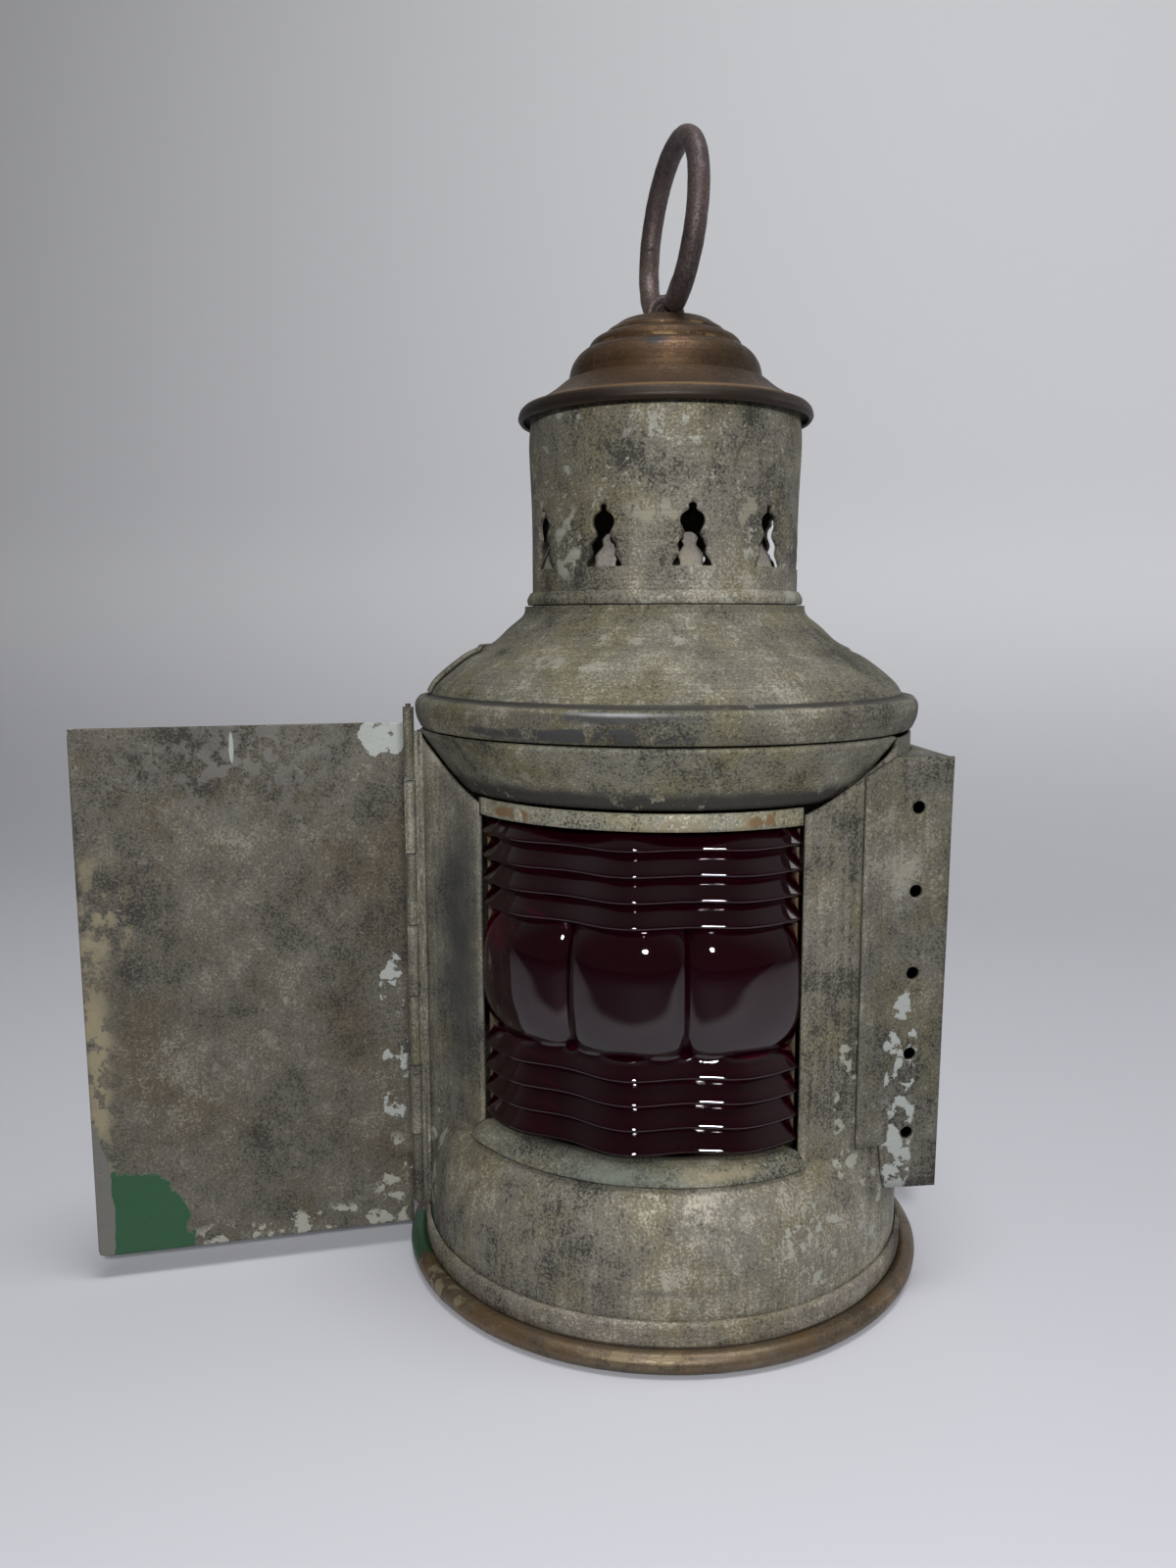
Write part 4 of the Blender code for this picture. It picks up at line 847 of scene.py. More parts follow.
def make_fillet():
    """Solder between the leaf and the pin: a strip whose hollow side follows the knuckles."""
    build = bmesh.new()
    inward = azimuth_of(HINGE) + 180.0
    hollow = [HINGE + polar(KNUCKLE + 0.17, inward + turn, 0.0) for turn in between(-26.0, 38.0, 8)]
    base = []
    for turn in between(38.0, -26.0, 4):
        base.append(HINGE + polar(3.1 / math.cos(math.radians(turn)), inward + turn, 0.0))
    heights = (HINGE_SPAN[0], BODY_TOP - 0.4)
    columns = [[Vector((spot.x, spot.y, z * MM)) for z in heights] for spot in hollow + base]
    close_ends(build, weave(build, columns, round_columns=True))
    return new_piece("hinge_fillet", build, "lantern")


fillet = make_fillet()
print("hinge_fillet:", len(fillet.data.polygons), "faces")

# %% [markdown]
# ## Screen plate
# The screen is a flat sheet on a long thin hinge. Every flat sheet of this age has a slight wind in
# it and soft corners. It is a grid with a little wave that dies away at the hinge. A plain box would
# look too flat where light grazes it.

# %% Screen plate
SCREEN_ALONG = polar(1.0, -63.1, 0.0).normalized()
SCREEN_FACE = right_of(SCREEN_ALONG)
SCREEN = {"root": 1.3, "wide": 72.6, "low": 5.6, "high": 126.0, "thick": 1.0}
ROUND_OFF = 1.6


def screen_point(distance, height, depth=0.0):
    """A point of the screen: distance from the hinge, height, and depth behind its middle plane."""
    point = HINGE + (SCREEN_ALONG * distance + SCREEN_FACE * depth) * MM
    return Vector((point.x, point.y, height * MM))


def screen_wave(distance, height):
    """How far the plate waves out of its plane. The wave dies away at the hinge."""
    free = (distance - SCREEN["root"]) / (SCREEN["wide"] - SCREEN["root"])
    slow = noise.noise(Vector((distance * 0.022, height * 0.02, 3.0)))
    return free * (0.5 * slow + 0.12 * noise.noise(Vector((distance * 0.09, height * 0.08, 9.0))))


def softened(distance, height):
    """Corners of the free side worn round."""
    over_x = distance - (SCREEN["wide"] - ROUND_OFF)
    middle = (SCREEN["low"] + SCREEN["high"]) / 2
    over_z = abs(height - middle) - ((SCREEN["high"] - SCREEN["low"]) / 2 - ROUND_OFF)
    if over_x > 0.0 and over_z > 0.0:
        shrink = ROUND_OFF / max(ROUND_OFF, math.hypot(over_x, over_z))
        distance -= over_x * (1.0 - shrink)
        height -= math.copysign(over_z * (1.0 - shrink), height - middle)
    return distance, height


def make_screen():
    """A grid with finer steps at the worn edges, thickened to both sides of its middle plane."""
    build = bmesh.new()
    edge = SCREEN["wide"] - ROUND_OFF
    top = SCREEN["high"] - ROUND_OFF
    foot = SCREEN["low"] + ROUND_OFF
    distances = between(SCREEN["root"], edge, 40)[:-1] + between(edge, SCREEN["wide"], 5)
    heights = between(SCREEN["high"], top, 5)[:-1]
    heights += between(top, foot, 70)
    heights += between(foot, SCREEN["low"], 5)[1:]
    columns = []
    for distance in reversed(distances):
        column = []
        for height in heights:
            column.append(screen_point(*softened(distance, height), screen_wave(distance, height)))
        columns.append(column)
    weave(build, columns)
    item = new_piece("screen_sheet", build, "screen", ["screen_plate"])
    thicken(item, SCREEN["thick"], offset=0.0)
    return item


screen_sheet = make_screen()
print("screen_sheet:", round(SCREEN["wide"] - SCREEN["root"], 1), "mm wide")

# %% [markdown]
# Three knuckles of the plate turn on the pin between those of the leaf. They are tubes rolled round
# the pin, each with a short web to the plate, and they ride with the screen.

# %% Knuckles
KNUCKLE_BORE = 0.66
KNUCKLES = 7


def make_knuckles():
    """Tubes round the pin, alternate spans of the hinge, with a web from each to the plate."""
    build = bmesh.new()
    pitch = (HINGE_SPAN[1] - HINGE_SPAN[0]) / KNUCKLES
    corners = ((1.0, 0.45), (2.4, 0.45), (2.4, -0.45), (1.0, -0.45))
    for knuckle in range(1, KNUCKLES, 2):
        low = HINGE_SPAN[0] + knuckle * pitch + GAP / 2
        high = low + pitch - GAP
        loop = [(KNUCKLE, high), (KNUCKLE, low), (KNUCKLE_BORE, low), (KNUCKLE_BORE, high)]
        columns = [[HINGE + polar(r, turn, z) for r, z in loop] for turn in between(0.0, 345.0, 23)]
        weave(build, columns, round_columns=True, round_rows=True)
        web = [[screen_point(along, z, depth) for z in (high, low)] for along, depth in corners]
        close_ends(build, weave(build, web, round_columns=True))
    return new_piece("screen_knuckles", build, "screen")


knuckles = make_knuckles()
print("knuckles of the plate:", len(range(1, KNUCKLES, 2)))

# %% [markdown]
# ## Wick
# The flat wick is the one soft piece. It is woven cotton tape: a long strip with round edges, crossed
# by the picks of its weave and frayed at the top, where the flame sat. The picks are shallow steps in
# the mesh itself. Bump in the finish would do from afar, but leaves the edges straight.

# %% Wick
WICK = {"wide": 11.8, "deep": 2.6, "low": 12.0, "high": 56.0}


def make_wick():
    """Upright threads round a flat oval, each stepped by the picks half a pitch off its neighbours."""
    build = bmesh.new()
    threads = 44
    columns = []
    for thread in range(threads):
        turn = 2.0 * math.pi * thread / threads
        x = math.copysign(abs(math.cos(turn)) ** 0.35, math.cos(turn)) * WICK["wide"] / 2
        y = math.copysign(abs(math.sin(turn)) ** 0.6, math.sin(turn)) * WICK["deep"] / 2
        column = []
        for z in between(WICK["high"], WICK["low"], 150):
            pick = 0.5 + 0.5 * math.sin(z * 5.2 + math.pi * (thread % 2))
            tight = 1.0 - 0.05 * pick - 0.04
            column.append(Vector((x * tight, y * tight, z)) * MM)
        column[0].z += (0.5 * noise.noise(Vector((thread * 0.9, 1.0, 4.0))) - 0.3) * MM
        columns.append(column)
    close_ends(build, weave(build, columns, round_columns=True))
    return new_piece("woven_wick", build, "wick_strip", ["wick"], sharp=80.0)


woven_wick = make_wick()
print("woven_wick:", len(woven_wick.data.polygons), "faces")

# %% [markdown]
# ## Material building blocks
# Old metal is never one colour. Each finish is mixed from clouds of noise at several sizes, laid out
# in the lantern's own metres, so marks run on from piece to piece. The helpers below keep the node
# trees short: a value may be a number or a link, and both go in the same way.

# %% Node helpers
def feed(tree, socket, value):
    """Put a link or a constant into a socket."""
    if isinstance(value, bpy.types.NodeSocket):
        tree.links.new(value, socket)
    else:
        socket.default_value = value


def calc(tree, operation, first, second, clamp=False):
    """One sum on two numbers."""
    node = tree.nodes.new("ShaderNodeMath")
    node.operation = operation
    node.use_clamp = clamp
    feed(tree, node.inputs[0], first)
    feed(tree, node.inputs[1], second)
    return node.outputs[0]


def space(tree, operation, first, second=(0.0, 0.0, 0.0)):
    """One sum on two vectors."""
    node = tree.nodes.new("ShaderNodeVectorMath")
    node.operation = operation
    feed(tree, node.inputs[0], first)
    feed(tree, node.inputs[1], second)
    return node.outputs["Value"] if operation == "LENGTH" else node.outputs["Vector"]


def place_of(tree):
    """The place on the piece that is being shaded, in metres."""
    return tree.nodes.new("ShaderNodeTexCoord").outputs["Object"]


def parts_of(tree, vector):
    """The X, Y and Z of a vector."""
    node = tree.nodes.new("ShaderNodeSeparateXYZ")
    feed(tree, node.inputs[0], vector)
    return node.outputs


def cloud(tree, where, scale, detail=5.0, roughness=0.6):
    """Noise in all directions. A larger scale gives smaller marks."""
    node = tree.nodes.new("ShaderNodeTexNoise")
    feed(tree, node.inputs["Vector"], where)
    node.inputs["Scale"].default_value = scale
    node.inputs["Detail"].default_value = detail
    node.inputs["Roughness"].default_value = roughness
    return node.outputs[0]


def fade(tree, value, low, high):
    """0 below low, 1 above high, smooth between."""
    node = tree.nodes.new("ShaderNodeMapRange")
    node.interpolation_type = "SMOOTHSTEP"
    for socket, number in zip(node.inputs, (value, low, high, 0.0, 1.0)):
        feed(tree, socket, number)
    return node.outputs[0]


def blend(tree, share, first, second):
    """The first colour where the share is 0, the second where it is 1."""
    node = tree.nodes.new("ShaderNodeMix")
    node.data_type = "RGBA"
    feed(tree, node.inputs[0], share)
    feed(tree, node.inputs[6], first)
    feed(tree, node.inputs[7], second)
    return node.outputs[2]


def weighed(tree, shift, parts):
    """A sum of values, each times its weight."""
    total = shift
    for value, weight in parts:
        total = calc(tree, "ADD", calc(tree, "MULTIPLY", value, weight), total)
    return total


print("node helpers ready: feed, calc, space, cloud, fade, blend, weighed")

# %% [markdown]
# A finish starts from a new material with its one shader, and places node groups in it. These short
# functions make both, so that each finish below reads as a list of its values.

# %% Groups and materials
def effect(name, inputs, outputs):
    """An empty node group with its sockets."""
    tree = bpy.data.node_groups.new(name, "ShaderNodeTree")
    for way, sockets in (("INPUT", inputs), ("OUTPUT", outputs)):
        for label, kind in sockets:
            tree.interface.new_socket(label, in_out=way, socket_type="NodeSocket" + kind)
    return tree, tree.nodes.new("NodeGroupInput").outputs, tree.nodes.new("NodeGroupOutput").inputs


def use(tree, group, **values):
    """Place a node group with its own values, and give its outputs."""
    node = tree.nodes.new("ShaderNodeGroup")
    node.node_tree = group
    for label, value in values.items():
        feed(tree, node.inputs[label], value)
    return node.outputs


def rgb(red, green, blue):
    """A colour socket's value from linear red, green and blue."""
    return red, green, blue, 1.0


def new_material(name):
    """A material, with its node tree and its shader."""
    material = bpy.data.materials.new(name)
    material.use_nodes = True
    return material, material.node_tree, material.node_tree.nodes["Principled BSDF"]


print("group helpers ready: effect, use, rgb, new_material")

# %% [markdown]
# ## Three shared effects
# *Weathering* lays a broad stain, a mottle, a fine grain and drawn streaks over three tones, with
# pale specks and dark pits. *Ragged patch* is a mask for paint that has flaked round a place.
# *Turned lines* are the fine rings that spinning leaves. They are node groups, so one change
# reaches every finish.

# %% Shared effects
def make_weathering():
    """Colour, roughness and height of a weathered surface."""
    colours = [(label, "Color") for label in ("Dark", "Middle", "Light", "Tint", "Speck")]
    amounts = [("Shift", "Vector"), ("Streaks", "Float"), ("Specks", "Float")]
    made = [("Color", "Color"), ("Roughness", "Float"), ("Height", "Float")]
    tree, given, result = effect("weathering", colours + amounts, made)
    where = space(tree, "ADD", place_of(tree), given["Shift"])
    drawn = space(tree, "MULTIPLY", where, (1.0, 1.0, 0.05))
    broad = cloud(tree, where, 26.0, 5.0, 0.62)
    mottle = cloud(tree, where, 150.0, 5.0, 0.62)
    grain = cloud(tree, where, 1900.0, 2.0, 0.6)
    stripes = calc(tree, "SUBTRACT", cloud(tree, drawn, 950.0, 4.0), 0.5)
    streak = calc(tree, "MULTIPLY", stripes, given["Streaks"])
    tone = weighed(tree, -1.42, [(broad, 1.6), (mottle, 0.9), (grain, 1.3), (streak, 1.0)])
    stains = weighed(tree, 0.0, [(cloud(tree, where, 48.0, 5.0, 0.65), 0.8), (mottle, 0.2)])
    middle = blend(tree, fade(tree, stains, 0.46, 0.62), given["Middle"], given["Tint"])
    colour = blend(tree, fade(tree, tone, 0.12, 0.5), given["Dark"], middle)
    colour = blend(tree, fade(tree, tone, 0.54, 0.95), colour, given["Light"])
    pits = fade(tree, cloud(tree, where, 900.0, 3.0, 0.6), 0.36, 0.3)
    colour = blend(tree, calc(tree, "MULTIPLY", pits, 0.4), colour, given["Dark"])
    small = weighed(tree, 0.0, [(cloud(tree, where, 1000.0, 1.0, 0.5), 1.0), (mottle, 0.5)])
    large = weighed(tree, 0.0, [(cloud(tree, where, 190.0, 6.0, 0.68), 1.0), (broad, 0.5)])
    flakes = calc(tree, "MAXIMUM", fade(tree, small, 0.94, 0.99), fade(tree, large, 0.87, 0.9))
    speck = calc(tree, "MULTIPLY", flakes, given["Specks"], clamp=True)
    feed(tree, result["Color"], blend(tree, speck, colour, given["Speck"]))
    feed(tree, result["Roughness"], weighed(tree, 0.84, [(tone, -0.3), (pits, 0.15), (speck, 0.1)]))
    relief = weighed(tree, 0.0, [(grain, 0.4), (mottle, 0.7), (pits, -0.3), (speck, 0.25)])
    feed(tree, result["Height"], relief)
    return tree


def make_ragged_patch():
    """A mask round a centre: torn at its edge by Ragged, broken within by a Cover below 1."""
    amounts = [("Centre", "Vector"), ("Reach", "Vector")]
    amounts += [(label, "Float") for label in ("Ragged", "Cover", "Soft")]
    tree, given, result = effect("ragged patch", amounts, [("Mask", "Float")])
    spot = place_of(tree)
    off = space(tree, "DIVIDE", space(tree, "SUBTRACT", spot, given["Centre"]), given["Reach"])
    edge = calc(tree, "SUBTRACT", 1.0, space(tree, "LENGTH", off))
    rough = calc(tree, "SUBTRACT", cloud(tree, spot, 130.0, 6.0, 0.6), 0.5)
    torn_edge = calc(tree, "ADD", edge, calc(tree, "MULTIPLY", rough, given["Ragged"]))
    inside = fade(tree, torn_edge, 0.0, given["Soft"])
    bare = calc(tree, "SUBTRACT", given["Cover"], 1.0)
    flaked = calc(tree, "ADD", cloud(tree, spot, 260.0, 5.0, 0.62), bare)
    feed(tree, result["Mask"], calc(tree, "MULTIPLY", inside, fade(tree, flaked, 0.0, 0.03)))
    return tree


def make_turned_lines():
    """Rings of noise that change only along the profile, by height and radius."""
    tree, _, result = effect("turned lines", [], [("Value", "Float")])
    spot = place_of(tree)
    radius = space(tree, "LENGTH", space(tree, "MULTIPLY", spot, (1.0, 1.0, 0.0)))
    along = tree.nodes.new("ShaderNodeCombineXYZ")
    feed(tree, along.inputs[2], calc(tree, "SUBTRACT", parts_of(tree, spot)[2], radius))
    feed(tree, result["Value"], cloud(tree, along.outputs[0], 900.0, 5.0, 0.75))
    return tree


WEATHERING = make_weathering()
RAGGED_PATCH = make_ragged_patch()
TURNED_LINES = make_turned_lines()
print("shared effects:", [group.name for group in (WEATHERING, RAGGED_PATCH, TURNED_LINES)])

# %% [markdown]
# ## Worn metal
# One function makes every metal finish: three tones, how streaked and specked it is, the rings of
# spinning where there are any, and a list of patches of paint, bare metal, painted shade and painted
# highlights. One big material with switches would do too, but then every piece would carry nodes it
# does not need. Colours are written as they look in even light.

# %% Worn metal
PALE = rgb(0.33, 0.33, 0.28)


def toned(colour, share):
    """A colour made lighter or darker."""
    return rgb(*(channel * share for channel in colour))


def metal(name, middle, dark=0.24, light=2.1, tint=(0.95, 0.91, 0.68), shift=0.0, streaks=0.4, specks=0.6,
          metallic=0.3, speck=PALE, patches=(), lines=0.0, bump=0.5, smoother=0.0):
    """A worn metal. Dark, light and tint are shares of the middle colour."""
    material, tree, shader = new_material(name)
    tones = {"Dark": toned(middle, dark), "Middle": rgb(*middle), "Light": toned(middle, light)}
    tones["Tint"] = rgb(*(channel * share for channel, share in zip(middle, tint)))
    place = (shift, shift * 0.7, shift * 1.3)
    worn = use(tree, WEATHERING, Speck=speck, Shift=place, Streaks=streaks, Specks=specks, **tones)
    colour = worn["Color"]
    height = worn["Height"]
    for shape, paint in patches:
        mask = use(tree, RAGGED_PATCH, **shape)["Mask"]
        colour = blend(tree, mask, colour, paint)
        height = calc(tree, "ADD", height, calc(tree, "MULTIPLY", mask, 0.5))
    if lines:
        rings = use(tree, TURNED_LINES)["Value"]
        shade = calc(tree, "MULTIPLY", fade(tree, rings, 0.42, 0.66), lines)
        colour = blend(tree, shade, colour, tones["Dark"])
        height = calc(tree, "SUBTRACT", height, shade)
    relief = tree.nodes.new("ShaderNodeBump")
    relief.inputs["Strength"].default_value = bump
    relief.inputs["Distance"].default_value = 0.3 * MM
    feed(tree, relief.inputs["Height"], height)
    feed(tree, shader.inputs["Base Color"], colour)
    feed(tree, shader.inputs["Roughness"], calc(tree, "SUBTRACT", worn["Roughness"], smoother))
    feed(tree, shader.inputs["Normal"], relief.outputs["Normal"])
    shader.inputs["Metallic"].default_value = metallic
    return material


print("finish maker ready: metal")

# %% [markdown]
# A patch is a mark at one place: paint that is left, metal rubbed bare, painted shade or a painted
# highlight. A patch that is far wider than the lantern and very low becomes a line all the way round it.

# %% Patches
def patch(centre, wide, tall, ragged, cover, soft, colour):
    """A mark round a centre: its reach in millimetres, how torn, how whole, how soft, and its colour."""
    shape = {"Centre": centre, "Reach": (wide * MM, wide * MM, tall * MM)}
    shape.update(Ragged=ragged, Cover=cover, Soft=soft)
    return shape, colour


def band_patch(height, tall, cover, colour):
    """A line all the way round, at one height: wear, painted shade or a painted highlight."""
    return patch((0.0, 0.0, height * MM), 200.0, tall, 0.6, cover, 0.5, colour)


print("patch makers ready: patch, band_patch")

# %% [markdown]
# ## Finishes of the shell
# The shell is dull sheet that has gone grey and buff, with scraps of pale paint in the corners that
# hands seldom rub. Each part has its own tone and its own shift of the noise, so that the pieces
# read as separate sheets.

# %% Finishes of the shell
PAINT_GREEN = rgb(0.024, 0.088, 0.04)
SLATE = rgb(0.05, 0.05, 0.05)
SHADOW = rgb(0.09, 0.084, 0.07)
# The next colour is painted shade, for creases and edges where shade falls.
PAINTED_SHADE = rgb(0.04, 0.037, 0.031)
# The next colour is metal rubbed bright, painted lighter still as a highlight.
RUBBED_AND_HIGHLIGHT = rgb(0.4, 0.4, 0.4)
BUFF = rgb(0.26, 0.245, 0.185)


def worn_body():
    patches = [
        patch(polar(56.0, 45.0, 21.0), 9.0, 8.0, 1.5, 0.47, 0.1, PALE),
        patch(polar(54.0, 64.0, 40.0), 7.0, 26.0, 1.5, 0.46, 0.1, PALE),
        patch(polar(54.0, -64.0, 22.0), 6.0, 14.0, 1.4, 0.47, 0.1, PALE),
        patch(polar(56.0, -63.0, 8.0), 4.0, 5.0, 1.2, 0.52, 0.1, PAINT_GREEN),
        # Painted shade on the left cheek, which turns away from the light; its metal is also a little
        # darker.
        patch(polar(52.0, -56.0, 75.0), 12.0, 60.0, 0.8, 0.9, 1.0, SLATE),
        patch(polar(56.0, 8.0, 15.0), 26.0, 1.3, 0.9, 0.9, 1.5, SHADOW),
    ]
    return metal("worn_body", (0.17, 0.158, 0.128), dark=0.27, streaks=0.6, specks=0.3, patches=patches)


def worn_hood():
    """Painted shade darkens the crease above the bead; a rubbed line on the bead is painted lighter as a
    highlight.
    """
    patches = [
        patch(polar(57.0, -5.0, 127.0), 30.0, 1.6, 1.4, 0.55, 0.4, SLATE),
        # painted shade in the crease above the bead
        band_patch(132.5, 0.6, 0.66, PAINTED_SHADE),
        patch(polar(57.0, -2.0, 130.6), 26.0, 1.5, 1.2, 0.62, 0.8, SLATE),
        # a line rubbed bright, painted lighter as a highlight
        patch(polar(56.6, 2.0, 131.2), 15.0, 0.6, 1.2, 0.62, 1.4, RUBBED_AND_HIGHLIGHT),
    ]
    wear = {"streaks": 0.2, "specks": 0.5, "lines": 0.35}
    return metal("worn_hood", (0.14, 0.131, 0.1), shift=0.21, patches=patches, **wear)


def worn_chimney():
    patches = [
        patch(polar(30.2, -33.0, 165.0), 4.5, 8.0, 1.6, 0.5, 0.3, PALE),
        patch(polar(30.2, 42.0, 171.0), 10.0, 5.0, 1.8, 0.46, 0.6, BUFF),
        patch(polar(30.2, 6.0, 171.0), 6.0, 4.0, 1.8, 0.48, 0.5, BUFF),
        patch(polar(30.2, 16.0, 186.0), 12.0, 8.0, 1.8, 0.42, 0.3, PALE),
    ]
    wear = {"streaks": 0.3, "specks": 1.0, "lines": 0.3}
    return metal("worn_chimney", (0.175, 0.163, 0.13), shift=0.37, patches=patches, **wear)


def pale_tongue():
    wear = {"streaks": 0.1, "specks": 0.3}
    return metal("pale_tongue", (0.24, 0.22, 0.195), dark=0.6, light=1.4, shift=0.41, **wear)


def worn_visor():
    """Painted shade darkens its lower edge."""
    # painted shade along the lower edge of the visor
    patches = [band_patch(111.5, 5.5, 0.62, PAINTED_SHADE)]
    wear = {"streaks": 0.3, "specks": 0.5}
    return metal("worn_visor", (0.185, 0.176, 0.138), shift=0.53, patches=patches, **wear)


body_metal = worn_body()
hood_metal = worn_hood()
drum_metal = worn_chimney()
tongue_metal = pale_tongue()
visor_metal = worn_visor()
print("shell finishes:", len(bpy.data.materials), "materials so far")

# %% [markdown]
# ## Finishes of the screen and the draught face
# The plate is the most marked sheet: ochre along its free edge, a corner of old green paint and
# flakes of grey along the hinge. Each mark is a patch at a measured place. An image could hold them
# too, but patches stay sharp at any distance and need no unwrapping.

# %% Finishes of the screen and the draught face
PAINT_GREY = rgb(0.36, 0.38, 0.36)
OCHRE = rgb(0.27, 0.235, 0.15)
DULL_OCHRE = rgb(0.2, 0.18, 0.14)
ASH = rgb(0.15, 0.145, 0.13)


def face_point(along, height):
    """A point of the draught face: distance from its bend, and height."""
    spot = face_corner + face_along * along * MM
    return spot.x, spot.y, height * MM


def worn_screen():
    patches = [
        patch(screen_point(38.0, 118.0), 40.0, 24.0, 0.9, 0.5, 1.2, ASH),
        patch(screen_point(68.0, 86.0), 11.0, 14.0, 2.0, 0.49, 1.2, OCHRE),
        patch(screen_point(69.5, 62.0), 8.0, 60.0, 1.4, 0.62, 1.8, DULL_OCHRE),
        patch(screen_point(70.5, 54.0), 4.5, 48.0, 1.6, 0.53, 1.0, OCHRE),
        patch(screen_point(5.0, 52.0), 3.0, 22.0, 1.8, 0.46, 0.1, PAINT_GREY),
        patch(screen_point(5.0, 123.0), 6.0, 5.0, 1.8, 0.62, 0.05, PAINT_GREY),
        patch(screen_point(39.0, 121.0), 0.7, 4.6, 0.7, 0.62, 0.2, PAINT_GREY),
        patch(screen_point(26.0, 7.0), 30.0, 4.5, 2.0, 0.46, 0.5, PALE),
        patch(screen_point(5.0, 14.0), 8.0, 16.0, 2.0, 0.45, 0.5, PALE),
        patch(screen_point(65.0, 5.0), 13.5, 21.0, 0.5, 1.0, 0.03, PAINT_GREEN),
        patch(screen_point(72.6, 14.0), 4.0, 22.0, 0.6, 1.0, 0.05, ASH),
    ]
    wear = {"dark": 0.33, "light": 1.9, "tint": (0.8, 0.72, 0.58), "streaks": 0.15, "specks": 0.22}
    return metal("worn_screen", (0.112, 0.103, 0.083), shift=0.71, patches=patches, **wear)


def worn_face():
    patches = [
        patch(face_point(3.0, 50.0), 3.5, 20.0, 1.8, 0.49, 0.1, PAINT_GREY),
        patch(face_point(2.0, 31.0), 4.0, 6.0, 1.4, 0.52, 0.1, PAINT_GREY),
    ]
    wear = {"streaks": 0.4, "specks": 0.3}
    return metal("worn_face", (0.12, 0.113, 0.092), shift=0.87, patches=patches, **wear)


screen_metal = worn_screen()
face_metal = worn_face()
box_metal = metal("worn_box", (0.12, 0.112, 0.09), shift=2.7, streaks=0.5)
print("screen and face finishes:", len(bpy.data.materials), "materials so far")

# %% [markdown]
# ## Finishes of the bands
# The band and the sill round the lens are paler, with ochre and verdigris where water stood. The
# base bead is brass gone brown, smoother than the sheet, and a little green paint ran on to it.

# %% Finishes of the bands
BROWN_BRASS = rgb(0.2, 0.128, 0.06)
DARK_BRASS = rgb(0.16, 0.122, 0.07)
VERDIGRIS = rgb(0.14, 0.16, 0.13)


def pale_band():
    patches = [
        patch(polar(47.5, 22.0, 108.3), 16.0, 2.2, 1.6, 0.5, 0.3, OCHRE),
        patch(polar(47.5, -32.0, 109.0), 6.0, 1.6, 1.2, 0.52, 0.3, BROWN_BRASS),
        patch(polar(47.5, 38.0, 109.0), 6.0, 2.0, 1.2, 0.52, 0.3, BROWN_BRASS),
    ]
    return metal("pale_band", (0.27, 0.258, 0.2), shift=1.1, streaks=0.2, patches=patches)


def green_sill():
    patches = [
        patch(polar(49.0, 0.0, 36.4), 22.0, 3.0, 1.6, 0.66, 1.4, VERDIGRIS),
        patch(polar(49.0, 26.0, 37.0), 12.0, 2.0, 1.8, 0.56, 1.2, OCHRE),
    ]
    return metal("green_sill", (0.165, 0.16, 0.13), shift=1.3, patches=patches)


def worn_bead():
    patches = [
        patch(polar(60.0, 6.0, 3.6), 34.0, 2.2, 1.8, 0.47, 0.6, DARK_BRASS),
        patch(polar(60.0, -50.0, 3.0), 26.0, 3.0, 1.8, 0.46, 0.6, OCHRE),
        patch(polar(61.0, -66.0, 3.0), 12.0, 5.0, 0.8, 0.8, 0.05, PAINT_GREEN),
    ]
    tones = {"dark": 0.5, "light": 1.4, "tint": (1.2, 0.95, 0.65), "metallic": 0.6}
    wear = {"streaks": 0.0, "specks": 0.12, "lines": 0.45, "bump": 0.25, "smoother": 0.3}
    return metal("worn_bead", (0.125, 0.093, 0.06), shift=1.7, patches=patches, **tones, **wear)


band_metal = pale_band()
sill_metal = green_sill()
hoop_metal = metal("worn_hoop", (0.18, 0.162, 0.13), shift=1.5, streaks=0.4)
bead_metal = worn_bead()
print("band finishes:", len(bpy.data.materials), "materials so far")

# %% [markdown]
# ## Finishes of cap, ring and lamp
# The cap is brown brass, lighter along the edges of its steps, where it is partly worn bare and partly
# painted with highlights. The ring and its eye are rusty iron. The lamp inside is brass and tin that
# stayed cleaner than the outside.

# %% Finishes of cap, ring and lamp
BROWN_BLACK = rgb(0.036, 0.027, 0.022)
SPOT_BLACK = rgb(0.03, 0.028, 0.03)


def brown_cap():
    """Lines on its steps, worn bare and painted lighter as highlights, a dark rim and one dark spot."""
    patches = [
        # The two lines on the steps are partly worn brass and partly painted highlight.
        band_patch(212.2, 0.5, 0.47, BROWN_BRASS),
        band_patch(208.7, 0.5, 0.45, BROWN_BRASS),
        band_patch(193.9, 1.9, 0.75, BROWN_BLACK),
        # The line on top of the rim is partly worn brass and partly painted highlight.
        band_patch(195.9, 0.5, 0.75, BROWN_BRASS),
        patch(polar(20.0, 4.0, 207.0), 4.2, 2.2, 0.7, 0.95, 0.8, SPOT_BLACK),
    ]
    tones = {"dark": 0.4, "light": 1.7, "metallic": 0.75, "speck": rgb(0.2, 0.13, 0.07)}
    wear = {"streaks": 0.4, "specks": 0.1, "lines": 0.6, "bump": 0.25, "smoother": 0.22}
    return metal("brown_cap", (0.082, 0.047, 0.025), shift=1.9, patches=patches, **tones, **wear)


def rusty_iron():
    tones = {"dark": 0.45, "light": 1.9, "metallic": 0.5, "speck": rgb(0.2, 0.17, 0.16)}
    wear = {"streaks": 0.0, "specks": 0.25, "bump": 0.7, "smoother": 0.15}
    return metal("rusty_iron", (0.086, 0.062, 0.062), shift=2.1, **tones, **wear)


